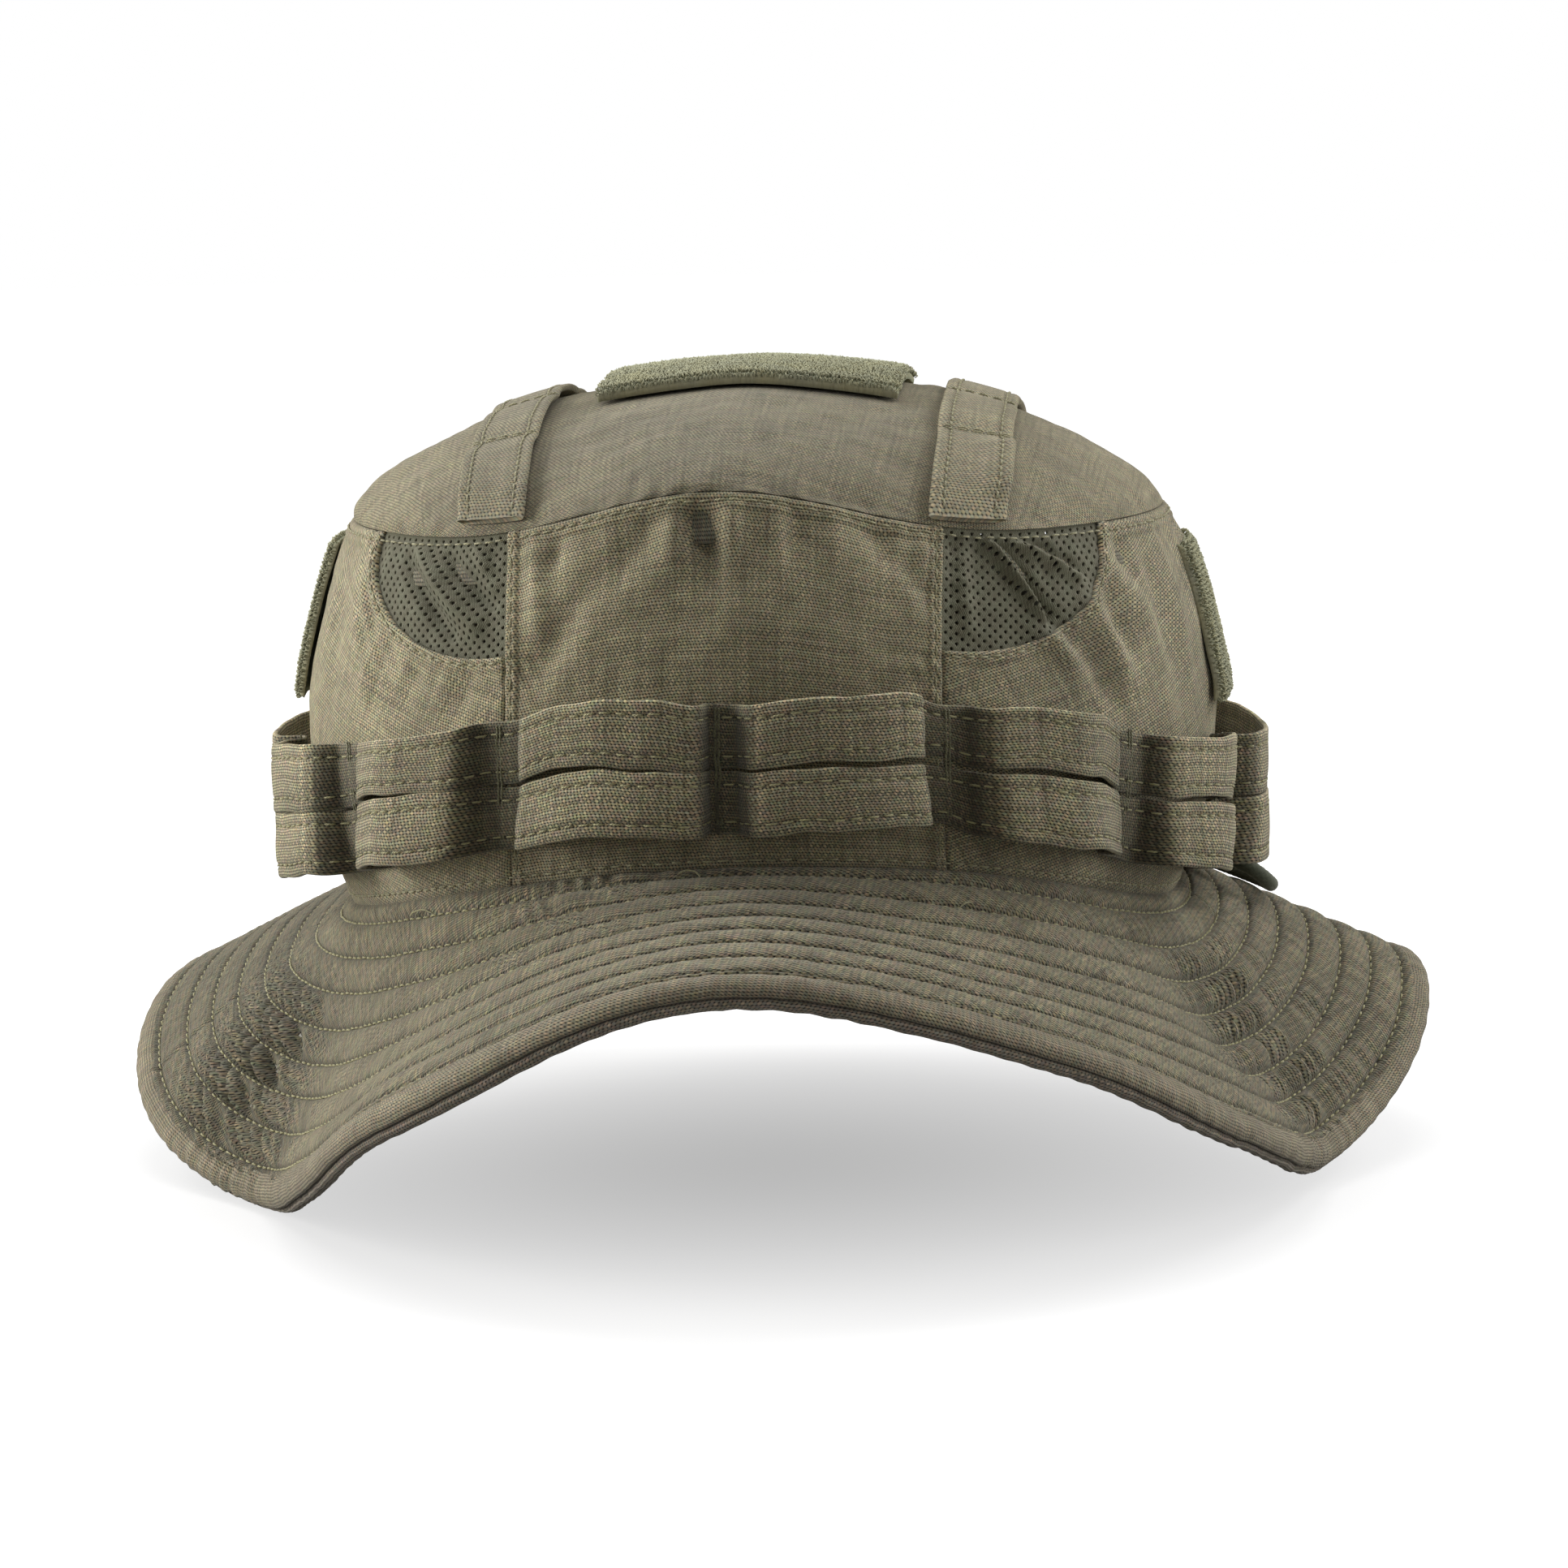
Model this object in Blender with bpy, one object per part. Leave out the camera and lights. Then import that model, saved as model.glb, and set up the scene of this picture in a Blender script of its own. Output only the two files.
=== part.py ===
"""Boonie hat, built in millimetres and placed in metres.

+Z is up, the front of the hat faces -Y, and +X is on the viewer's right when the hat is looked at
from the front. Left and right in the names are as seen from the front.
The origin is the centre of the head opening, level with the crown seam at the sides.
"""
import math
import bpy
import bmesh
import numpy as np
from mathutils import Matrix, Vector

MM = 0.001

# ---------------------------------------------------------------- driving dimensions (mm, degrees)
HEAD_HALF_WIDTH = 83.0        # crown foot, half width (x)
HEAD_HALF_LENGTH = 104.0      # crown foot, half length (y)
TIP_HALF_WIDTH = 81.0         # where the top panel starts
TIP_HALF_LENGTH = 98.0
SIDE_BULGE = 9.0              # how far the side wall swells between foot and tip seam
FRONT_BULGE = 7.0
SADDLE = 17.5                 # crown foot is this much higher at front and back than at the sides
TIP_SEAM_Z = 74.0             # height of the tip seam at the sides
TIP_SEAM_RISE = 13.0          # extra height of the tip seam at front and back
CROWN_Z = 104.0               # top of the crown
PANEL_SEAM_X = 40.5           # front and back panels lie between x = -40.5 and +40.5
CLOTH = 1.0                   # crown cloth
GAP = 0.3                     # clearance kept between neighbouring pieces

BRIM_WIDTH = 62.0             # foot of the crown to the outside of the rolled edge
BRIM_SHEET = 56.0             # quilted part
ROLL_DEPTH = 5.5
BRIM_COVER = 0.8
BRIM_CORE = 1.0
# how steeply the brim falls, at stations round the hat (azimuth, droop); -90 is the front
BRIM_DROOP = ((-90, 11), (-65, 23), (-45, 42), (-25, 61), (-5, 51), (15, 24), (30, 30), (45, 31), (90, 27),
              (135, 26), (150, 26), (165, 28), (185, 46), (205, 67), (225, 59), (245, 37))

VENT_SPAN = 28.0              # degrees of crown each mesh vent covers
VENT_DROP = 0.35              # its height as a share of the wall
# where both rows of the foliage band are tacked to the crown, in degrees round from the front
TACKS = (-90, -60, -33, -6, 27, 60, 90, 120, 153, 186, 213, 240)
# how far the band rises above its level at the back (azimuth, mm)
BAND_RISE = ((-120, 1.4), (-105, 3.0), (-90, 1.4), (-75, 3.6), (-60, 3.8), (-45, 4.0), (-33, 2.2), (-6, 0.5), (27, 0.0),
             (186, 0.0), (213, 0.6), (240, 1.4))
BAND_LOW, BAND_SPLIT, BAND_TOP = 0.085, 0.266, 0.448   # as shares of the wall height
BAND_BULGE = 10.4
BAND_THICK = 1.2
STRAP_X = 45.0
STRAP_WIDTH = 14.0
TOP_PATCH = (60.0, 70.0, 2.2)
SIDE_PATCH = (50.0, 30.0, 2.0)

CORD_DIA = 3.0
CORD_LIE = 18.0               # the cord lies on the brim this far out from the crown
TAIL_START, TAIL_END = 31.0, 78.0
TAIL_LIFT = 6.6               # height of the cord tails over the back of the brim
STRAND_PITCH = 4.2
LOCK_AT = 43.0                # middle of the cord lock, measured out from the crown
LOCK_SIZE = (23.0, 14.0, 11.0)
BUTTON_TRAVEL = 3.0

# ---------------------------------------------------------------- start clean
for old in list(bpy.data.objects):
    bpy.data.objects.remove(old, do_unlink=True)

D = math.radians


def material(name, colour, rough, metal=0.0):
    m = bpy.data.materials.new(name)
    m.use_nodes = True
    b = m.node_tree.nodes["Principled BSDF"]
    b.inputs["Base Color"].default_value = (*colour, 1.0)
    b.inputs["Roughness"].default_value = rough
    b.inputs["Metallic"].default_value = metal
    m.diffuse_color = (*colour, 1.0)
    return m


OLIVE = (0.150, 0.138, 0.092)
OLIVE_DARK = (0.115, 0.108, 0.074)
MESH_GREEN = (0.088, 0.098, 0.066)
PILE = (0.098, 0.104, 0.058)
CORD_GREEN = (0.040, 0.048, 0.032)
BLACK = (0.018, 0.018, 0.018)
TAPE = (0.120, 0.112, 0.080)


# ---------------------------------------------------------------- shape of the hat
def half_axes(v):
    a = HEAD_HALF_WIDTH + (TIP_HALF_WIDTH - HEAD_HALF_WIDTH) * v + SIDE_BULGE * 4 * v * (1 - v)
    b = HEAD_HALF_LENGTH + (TIP_HALF_LENGTH - HEAD_HALF_LENGTH) * v + FRONT_BULGE * 4 * v * (1 - v)
    return a, b


def foot_z(phi):
    return SADDLE * math.sin(phi) ** 2


def tip_z(phi):
    return TIP_SEAM_Z + TIP_SEAM_RISE * abs(math.sin(phi)) ** 7


def azimuth(u, v):
    """Ellipse angle for the pattern angle u (degrees): seams stay at constant x up the wall."""
    a = half_axes(min(max(v, 0.0), 1.0))[0]
    shift = math.acos(PANEL_SEAM_X / a) - D(60)
    return D(u) + math.sin(2 * D(u)) / 0.8660254 * shift


def wall_raw(u, v):
    phi = azimuth(u, v)
    a, b = half_axes(v)
    z = foot_z(phi) * (1 - v) + tip_z(phi) * v
    return np.array([a * math.cos(phi), b * math.sin(phi), z])


def dome_raw(u, w):
    """w = 0 is the middle of the top, w = 1 the tip seam."""
    phi = azimuth(u, 1.0)
    th = w * math.pi / 2
    z0 = tip_z(phi)
    z = z0 + (CROWN_Z - z0) * max(math.cos(th), 0.0) ** 1.4
    return np.array([TIP_HALF_WIDTH * math.sin(th) * math.cos(phi),
                     TIP_HALF_LENGTH * math.sin(th) * math.sin(phi), z])


def droop(phi):
    x = (math.degrees(phi) + 90.0) % 360.0 - 90.0
    n = len(BRIM_DROOP)

    def st(i):
        k, w = i % n, i // n
        return BRIM_DROOP[k][0] + 360.0 * w, float(BRIM_DROOP[k][1])
    i = max(j for j in range(n) if BRIM_DROOP[j][0] <= x + 1e-9)
    (x0, y0), (x1, y1), (xa, ya), (xb, yb) = st(i), st(i + 1), st(i - 1), st(i + 2)
    h = x1 - x0
    m0, m1 = (y1 - ya) / (x1 - xa), (yb - y0) / (xb - x0)
    t = (x - x0) / h
    y = ((2 * t ** 3 - 3 * t ** 2 + 1) * y0 + (t ** 3 - 2 * t ** 2 + t) * h * m0
         + (-2 * t ** 3 + 3 * t ** 2) * y1 + (t ** 3 - t ** 2) * h * m1)
    return D(y)


def brim_raw(u, s):
    phi = D(u)
    nx, ny = math.cos(phi) / HEAD_HALF_WIDTH, math.sin(phi) / HEAD_HALF_LENGTH
    k = math.hypot(nx, ny)
    d = droop(phi)
    r = s * math.cos(d) / k
    return np.array([HEAD_HALF_WIDTH * math.cos(phi) + nx * r,
                     HEAD_HALF_LENGTH * math.sin(phi) + ny * r, foot_z(phi) - s * math.sin(d)])


def lifted(raw, u, t, off, du=0.4, dt=0.01, sign=1.0):
    """Point of a surface pushed out along its normal."""
    p = raw(u, t)
    if off == 0.0:
        return p
    n = np.cross(raw(u + du, t) - raw(u - du, t), raw(u, t + dt) - raw(u, t - dt))
    return p + n * (sign * off / np.linalg.norm(n))


def wall(u, v, off=0.0):
    return lifted(wall_raw, u, v, off)


def wall_out(u, v, off):
    """Point off the wall, measured level."""
    p = wall_raw(u, v)
    e = wall_raw(u + 0.4, v) - wall_raw(u - 0.4, v)
    n = np.array([e[1], -e[0], 0.0])
    return p + n * (off / np.linalg.norm(n))


def dome(u, w, off=0.0):
    return lifted(dome_raw, u, w, off, dt=0.004, sign=-1.0)


def brim(u, s, off=0.0):
    return lifted(brim_raw, u, s, off, dt=0.5, sign=-1.0)


def dome_xy(x, y, off=0.0):
    """Point over the top of the hat at plan position x, y, pushed out along the normal."""
    def h(x, y):
        q = (x / TIP_HALF_WIDTH) ** 2 + (y / TIP_HALF_LENGTH) ** 2
        z0 = tip_z(math.atan2(y / TIP_HALF_LENGTH, x / TIP_HALF_WIDTH))
        return z0 + (CROWN_Z - z0) * max(1 - q, 0.0) ** 0.7
    e = 0.25
    n = np.array([-(h(x + e, y) - h(x - e, y)) / (2 * e), -(h(x, y + e) - h(x, y - e)) / (2 * e), 1.0])
    return np.array([x, y, h(x, y)]) + n * (off / np.linalg.norm(n))


# ---------------------------------------------------------------- mesh helpers
def finish(name, bm, mat, smooth=35.0):
    bmesh.ops.recalc_face_normals(bm, faces=bm.faces)
    me = bpy.data.meshes.new(name)
    bm.to_mesh(me)
    bm.free()
    if smooth:
        me.shade_smooth()
        me.set_sharp_from_angle(angle=D(smooth))
    ob = bpy.data.objects.new(name, me)
    ob.data.materials.append(mat)
    bpy.context.collection.objects.link(ob)
    return ob


def sheet(name, outer, inner, mat, ring=False, smooth=35.0):
    """Closed sheet between two grids of points [column][row]; ring joins last column to first."""
    bm = bmesh.new()
    nu, nv = len(outer), len(outer[0])
    vo = [[bm.verts.new(Vector(p) * MM) for p in col] for col in outer]
    vi = [[bm.verts.new(Vector(p) * MM) for p in col] for col in inner]

    def two(a, b, c, d):
        bm.faces.new((a, b, c))
        bm.faces.new((a, c, d))
    cols = nu if ring else nu - 1
    for i in range(cols):
        k = (i + 1) % nu
        for j in range(nv - 1):
            two(vo[i][j], vo[k][j], vo[k][j + 1], vo[i][j + 1])
            bm.faces.new((vi[i][j], vi[k][j + 1], vi[k][j]))
            bm.faces.new((vi[i][j], vi[i][j + 1], vi[k][j + 1]))
        two(vo[i][0], vi[i][0], vi[k][0], vo[k][0])
        two(vo[i][-1], vo[k][-1], vi[k][-1], vi[i][-1])
    if not ring:
        for i in (0, nu - 1):
            for j in range(nv - 1):
                two(vo[i][j], vo[i][j + 1], vi[i][j + 1], vi[i][j])
    return finish(name, bm, mat, smooth)


def span(a, b, n):
    return [a + (b - a) * i / (n - 1) for i in range(n)]


# ---------------------------------------------------------------- crown
cloth = {n: material(n, c, r) for n, c, r in (
    ("crown_top_cloth", OLIVE, 0.9), ("crown_front_cloth", OLIVE, 0.9), ("crown_back_cloth", OLIVE, 0.9),
    ("crown_side_left_cloth", OLIVE, 0.9), ("crown_side_right_cloth", OLIVE, 0.9))}

SEAM_DEG = 0.10               # half the gap between neighbouring panels, in degrees
V_TOP = 1.0 - 0.004           # panels stop just short of the tip seam


def crown_panel(name, u0, u1, n, mat):
    us, vs = span(u0 + SEAM_DEG, u1 - SEAM_DEG, n), span(0.0, V_TOP, 6)
    return sheet(name, [[wall(u, v) for v in vs] for u in us],
                 [[wall(u, v, -CLOTH) for v in vs] for u in us], mat)


crown_panel("crown_front_panel", -120, -60, 11, cloth["crown_front_cloth"])
crown_panel("crown_back_panel", 60, 120, 11, cloth["crown_back_cloth"])


def vent_low(t):
    """Lower edge of a vent as a share of the wall; t runs 0 at the panel seam to 1 at its tip."""
    return 1.0 - VENT_DROP * max(1 - t ** 1.95, 0.0) ** (1 / 1.95)


def vent_columns():
    return [0.0, 0.14, 0.28, 0.42, 0.56, 0.68, 0.78, 0.86, 0.92, 0.96, 0.982]


def side_panel(name, centre, mat):
    """Side panel from one panel seam to the other, cut out round the two vents."""
    cols = []
    edge = 60.0 - SEAM_DEG
    for t in vent_columns():
        cols.append((-edge + (VENT_SPAN - SEAM_DEG) * t, vent_low(t) - 0.006))
    cols.append((-edge + VENT_SPAN + 0.35, V_TOP))
    flat = [(u, V_TOP) for u in span(-24, 24, 9)]
    cols = cols + flat + [(-u, v) for u, v in reversed(cols)]
    outer, inner = [], []
    for du, top in cols:
        vs = span(0.0, top, 6)
        outer.append([wall(centre + du, v) for v in vs])
        inner.append([wall(centre + du, v, -CLOTH) for v in vs])
    return sheet(name, outer, inner, mat)


side_panel("crown_side_panel_right", 0.0, cloth["crown_side_right_cloth"])
side_panel("crown_side_panel_left", 180.0, cloth["crown_side_left_cloth"])


def mesh_vent(name, seam, way):
    """Vent that starts at the panel seam `seam` and runs `way` (+1 or -1) round the crown."""
    outer, inner = [], []
    for t in vent_columns():
        u = seam + way * (SEAM_DEG + (VENT_SPAN - SEAM_DEG) * t)
        low = vent_low(t)
        vs = span(low, V_TOP, 3)
        outer.append([wall(u, v) for v in vs])
        inner.append([wall(u, v, -0.8) for v in vs])
    return sheet(name, outer, inner, material(name + "_knit", MESH_GREEN, 0.85))


mesh_vent("mesh_vent_front_right", -60.0, 1)
mesh_vent("mesh_vent_front_left", -120.0, -1)
mesh_vent("mesh_vent_back_right", 60.0, -1)
mesh_vent("mesh_vent_back_left", 120.0, 1)

# top panel: fan in the middle, rings out to the tip seam
ws = [0.2, 0.42, 0.62, 0.79, 0.91, 0.975]
us = span(-180, 170, 36)
bm = bmesh.new()
rows = []
for off in (0.0, -CLOTH):
    rings = [[bm.verts.new(Vector(dome(u, w, off)) * MM) for u in us] for w in ws]
    mid = bm.verts.new(Vector((0, 0, CROWN_Z + off)) * MM)
    rows.append((rings, mid))
    for i in range(36):
        k = (i + 1) % 36
        bm.faces.new((mid, rings[0][i], rings[0][k]))
        for a, b in zip(rings, rings[1:]):
            bm.faces.new((a[i], b[i], b[k]))
            bm.faces.new((a[i], b[k], a[k]))
for i in range(36):
    k = (i + 1) % 36
    bm.faces.new((rows[0][0][-1][i], rows[0][0][-1][k], rows[1][0][-1][k]))
    bm.faces.new((rows[0][0][-1][i], rows[1][0][-1][k], rows[1][0][-1][i]))
finish("crown_top_panel", bm, cloth["crown_top_cloth"])

# straps over the top, front to back
for side, name in ((-1, "top_strap_left"), (1, "top_strap_right")):
    ys = span(-80.0, 80.0, 21)
    xs = [side * STRAP_X + dx for dx in (-STRAP_WIDTH / 2, 0, STRAP_WIDTH / 2)]

    def clear(x, y):
        # keep the strap ends inside the tip seam
        lim = 0.992 * TIP_HALF_LENGTH * math.sqrt(1 - (x / TIP_HALF_WIDTH) ** 2)
        return max(-lim, min(lim, y * lim / 80.5))
    low = [[dome_xy(x, clear(x, y), 0.45) for x in xs] for y in ys]
    top = [[dome_xy(x, clear(x, y), 1.95) for x in xs] for y in ys]
    sheet(name, top, low, material(name + "_cloth", OLIVE, 0.9))

# loop-pile patches
w, l, t = TOP_PATCH
xs, ys = span(-w / 2, w / 2, 6), span(-l / 2, l / 2, 6)
sheet("top_loop_patch", [[dome_xy(x, y, 0.45 + t) for y in ys] for x in xs],
      [[dome_xy(x, y, 0.45) for y in ys] for x in xs], material("top_patch_pile", PILE, 0.95), smooth=0)
for centre, name in ((0.0, "side_loop_patch_right"), (180.0, "side_loop_patch_left")):
    w, h, t = SIDE_PATCH
    us = span(centre - 13.5, centre + 13.5, 5)
    vs = span(0.55, 0.96, 4)
    sheet(name, [[wall(u, v, 0.45 + t) for v in vs] for u in us],
          [[wall(u, v, 0.45) for v in vs] for u in us], material(name + "_pile", PILE, 0.95))

# ---------------------------------------------------------------- foliage band
DEG_MM = 95.0 * math.pi / 180.0
WALL = 76.0                   # height of the wall that the shares are taken of
# end of a loop in plan: distance from the tack, distance off the wall (middle of the strip)
loop = [(0.0, 1.35), (1.5, 1.35), (2.6, 2.3), (3.1, 5.4), (3.9, 8.6), (6.6, 10.3)]
path = []
for k, tack in enumerate(TACKS):
    x0 = (tack + 90.0) * DEG_MM
    w = ((TACKS + (270,))[k + 1] - tack) * DEG_MM
    path += [(x0 + a, b) for a, b in loop] + [(x0 + w / 2, 11.2)] + [(x0 + w - a, b) for a, b in reversed(loop[1:])]


def rise(u):
    """How far the band rises at azimuth u, as a share of the wall."""
    x = (u + 120.0) % 360.0 - 120.0
    for (x0, y0), (x1, y1) in zip(BAND_RISE, BAND_RISE[1:]):
        if x <= x1:
            t = (x - x0) / (x1 - x0)
            return (y0 + (y1 - y0) * t * t * (3 - 2 * t)) / WALL
    return BAND_RISE[-1][1] / WALL


def strip(name, v0, v1):
    n = len(path)
    round_len = 360.0 * DEG_MM
    outer, inner = [], []
    a_ref = half_axes(0.42)[0]
    for i, (x, r) in enumerate(path):
        xa, ra = path[i - 1]
        xb, rb = path[(i + 1) % n]
        if i == 0:
            xa -= round_len
        if i == n - 1:
            xb += round_len
        ta, tb = (np.array([x - xa, r - ra]), np.array([xb - x, rb - r]))
        na = np.array([-ta[1], ta[0]]) / np.linalg.norm(ta)
        nb = np.array([-tb[1], tb[0]]) / np.linalg.norm(tb)
        nn = na + nb
        nn = nn / np.linalg.norm(nn)
        nn = nn / max(float(nn @ na), 0.6)
        for sgn, grid in ((1, outer), (-1, inner)):
            px, pr = x + sgn * nn[0] * BAND_THICK / 2, r + sgn * nn[1] * BAND_THICK / 2
            hang = max(0.0, min(1.0, (r - 1.35) / (BAND_BULGE - 1.35)))
            u = -90.0 + px / DEG_MM
            grid.append([wall_out(u, v, pr + hang * (a_ref - half_axes(v)[0])) for v in (v0 + rise(u), v1 + rise(u))])
    return sheet(name, outer, inner, material(name + "_cloth", OLIVE, 0.9), ring=True, smooth=50.0)


strip("foliage_band_lower", BAND_LOW, BAND_SPLIT - 0.006)
strip("foliage_band_upper", BAND_SPLIT, BAND_TOP)

# ---------------------------------------------------------------- brim
brim_s = [0.6, 19.0, 38.0, BRIM_SHEET]
for name, u0, u1, top in (("brim_top_front", -180.0, 0.0, 0.0), ("brim_top_back", 0.0, 180.0, 0.0),
                          ("brim_underside_front", -180.0, 0.0, -(BRIM_COVER + BRIM_CORE + 2 * GAP)),
                          ("brim_underside_back", 0.0, 180.0, -(BRIM_COVER + BRIM_CORE + 2 * GAP))):
    us = span(u0 + SEAM_DEG, u1 - SEAM_DEG, 33)
    sheet(name, [[brim(u, s, top) for s in brim_s] for u in us],
          [[brim(u, s, top - BRIM_COVER) for s in brim_s] for u in us],
          material(name + "_cloth", OLIVE if "top" in name else OLIVE_DARK, 0.9))
us = span(-180.0, 180.0 - 5.625, 64)
core_top = -(BRIM_COVER + GAP)
sheet("brim_interlining", [[brim(u, s, core_top) for s in brim_s] for u in us],
      [[brim(u, s, core_top - BRIM_CORE) for s in brim_s] for u in us],
      material("brim_interlining_felt", (0.30, 0.29, 0.25), 0.95), ring=True)

# rolled edge, a ring with a rounded section
roll = [(BRIM_SHEET + 0.4, 0.0), (BRIM_WIDTH - 2.2, 0.0), (BRIM_WIDTH - 0.5, -1.0), (BRIM_WIDTH, -2.6),
        (BRIM_WIDTH - 0.6, -4.6), (BRIM_WIDTH - 2.4, -ROLL_DEPTH), (BRIM_SHEET + 0.4, -ROLL_DEPTH + 0.9)]
bm = bmesh.new()
ring = [[bm.verts.new(Vector(brim(u, s, off)) * MM) for s, off in roll] for u in us]
for i in range(len(us)):
    k = (i + 1) % len(us)
    for j in range(len(roll)):
        m = (j + 1) % len(roll)
        bm.faces.new((ring[i][j], ring[k][j], ring[k][m]))
        bm.faces.new((ring[i][j], ring[k][m], ring[i][m]))
finish("brim_edge_roll", bm, material("brim_edge_cloth", OLIVE, 0.9), smooth=50.0)

# ---------------------------------------------------------------- inside of the hat
us = span(-180.0, 173.0, 48)
us = [-180.0 + 7.5 * i for i in range(48)]


def band_inside(name, v_list, out, into, mat):
    return sheet(name, [[wall(u, v, out) for v in v_list] for u in us],
                 [[wall(u, v, into) for v in v_list] for u in us], mat, ring=True)


band_inside("sweatband", (0.006, 0.14, 0.30, 0.45), -(CLOTH + 0.55), -(CLOTH + 1.95),
            material("sweatband_cloth", OLIVE_DARK, 0.8))
band_inside("foot_seam_tape", (-0.035, 0.03, 0.10), -(CLOTH + 2.35), -(CLOTH + 3.05), material("foot_seam_tape_cloth", TAPE, 0.9))
band_inside("tip_seam_tape", (0.875, 0.93, 0.985), -(CLOTH + 0.5), -(CLOTH + 1.1),
            material("tip_seam_tape_cloth", TAPE, 0.9))

# ---------------------------------------------------------------- chin cord, lock and knot
BACK = 90.0
slope = droop(D(BACK))
foot = brim_raw(BACK, 0.0)
T = np.array([0.0, math.cos(slope), -math.sin(slope)])      # out along the back of the brim
N = np.array([0.0, math.sin(slope), math.cos(slope)])       # up off the brim
X = np.array([1.0, 0.0, 0.0])


def tail(t, x=0.0, lift=TAIL_LIFT):
    return foot + T * t + N * lift + X * x


def catmull(pts, step):
    """Evenly spaced points on a smooth curve through pts."""
    p = [2 * pts[0] - pts[1]] + list(pts) + [2 * pts[-1] - pts[-2]]
    fine = []
    for i in range(1, len(p) - 2):
        a, b, c, d = p[i - 1], p[i], p[i + 1], p[i + 2]
        for k in range(24):
            t = k / 24
            fine.append(0.5 * (2 * b + (c - a) * t + (2 * a - 5 * b + 4 * c - d) * t * t
                               + (3 * b - a - 3 * c + d) * t ** 3))
    fine.append(p[-2])
    fine = np.array(fine)
    run = np.concatenate([[0.0], np.cumsum(np.linalg.norm(np.diff(fine, axis=0), axis=1))])
    n = int(round(run[-1] / step)) + 1
    want = np.linspace(0.0, run[-1], n)
    return np.stack([np.interp(want, run, fine[:, i]) for i in range(3)], axis=1)


def cord_points(side):
    """From the crown foot, over in an arch, round the back on the brim, out along the tail."""
    def m(u):
        return u if side > 0 else 180.0 - u
    pts = [wall(m(13.0), 0.04, 0.35), wall(m(13.0), 0.04, 3.0), brim(m(13.2), 8.0, 5.4),
           brim(m(14.0), 13.0, 5.4), brim(m(16.0), 17.0, 4.0), brim(m(20.0), CORD_LIE, 2.6)]
    for u in (25, 31, 38, 46, 54, 61):
        pts.append(brim(m(u), CORD_LIE, 2.35))
    pts.append(brim(m(67.0), CORD_LIE, 3.6))
    pts.append(brim(m(73.0), CORD_LIE, 5.4))
    x0 = side * STRAND_PITCH / 2
    r = 13.0
    for a in (0, 30, 60, 90):
        pts.append(tail(TAIL_START - r + r * (1 - math.cos(D(a))), x0 + side * r * (1 - math.sin(D(a)))))
    for t in (TAIL_START + 9, TAIL_START + 24, TAIL_START + 36, TAIL_END):
        pts.append(tail(t, x0))
    return catmull(pts, 6.8)


def tube(name, pts, dia, mat, res=1, closed=False):
    cu = bpy.data.curves.new(name, "CURVE")
    cu.dimensions = "3D"
    cu.bevel_depth = dia / 2 * MM
    cu.bevel_resolution = res
    cu.use_fill_caps = True
    sp = cu.splines.new("POLY")
    sp.points.add(len(pts) - 1)
    for q, p in zip(sp.points, pts):
        q.co = (*(Vector(p) * MM), 1.0)
    sp.use_smooth = True
    ob = bpy.data.objects.new(name, cu)
    ob.data.materials.append(mat)
    bpy.context.collection.objects.link(ob)
    return ob


tube("chin_cord_right", cord_points(1), CORD_DIA, material("chin_cord_right_braid", CORD_GREEN, 0.8))
tube("chin_cord_left", cord_points(-1), CORD_DIA, material("chin_cord_left_braid", CORD_GREEN, 0.8))

# knot that ties both ends
bm = bmesh.new()
bmesh.ops.create_uvsphere(bm, u_segments=12, v_segments=8, radius=1.0)
frame = Matrix((X, T, N)).transposed().to_4x4()
frame.translation = Vector(tail(TAIL_END + 0.35 + 4.6))
for v in bm.verts:
    v.co = (frame @ Vector((v.co.x * 5.4, v.co.y * 4.6, v.co.z * 4.4))) * MM
finish("cord_end_knot", bm, material("cord_end_knot_braid", CORD_GREEN, 0.8))

# cord lock: local X is the plunger's axis, Y the cord's way, Z off the brim
lock = Matrix((X, T, N)).transposed().to_4x4()
lock.translation = Vector(tail(LOCK_AT)) * MM


def placed(ob):
    ob.matrix_world = lock
    return ob


def box_mesh(name, lo, hi):
    bm = bmesh.new()
    bmesh.ops.create_cube(bm, size=1.0)
    for v in bm.verts:
        v.co = Vector([(lo[i] + hi[i]) / 2 + v.co[i] * (hi[i] - lo[i]) for i in range(3)]) * MM
    me = bpy.data.meshes.new(name)
    bm.to_mesh(me)
    bm.free()
    return me


def turned_mesh(name, profile, n=18):
    """Solid of revolution about local X; profile is (x, radius) from one pole to the other."""
    bm = bmesh.new()
    rings = []
    for x, r in profile:
        if r == 0:
            rings.append([bm.verts.new(Vector((x, 0, 0)) * MM)])
        else:
            rings.append([bm.verts.new(Vector((x, r * math.cos(2 * math.pi * i / n),
                                               r * math.sin(2 * math.pi * i / n))) * MM) for i in range(n)])
    for a, b in zip(rings, rings[1:]):
        for i in range(n):
            k = (i + 1) % n
            if len(a) == 1:
                bm.faces.new((a[0], b[i], b[k]))
            elif len(b) == 1:
                bm.faces.new((a[i], b[0], a[k]))
            else:
                bm.faces.new((a[i], b[i], b[k], a[k]))
    bmesh.ops.recalc_face_normals(bm, faces=bm.faces)
    me = bpy.data.meshes.new(name)
    bm.to_mesh(me)
    bm.free()
    return me


def add(name, me, mat=None):
    ob = bpy.data.objects.new(name, me)
    if mat:
        me.materials.append(mat)
    bpy.context.collection.objects.link(ob)
    return placed(ob)


def cutter(name, me):
    ob = add(name, me)
    ob.hide_render = True
    ob.display_type = "WIRE"
    return ob


def cut(ob, tool):
    m = ob.modifiers.new(tool.name, "BOOLEAN")
    m.operation, m.solver, m.object = "DIFFERENCE", "EXACT", tool


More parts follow.
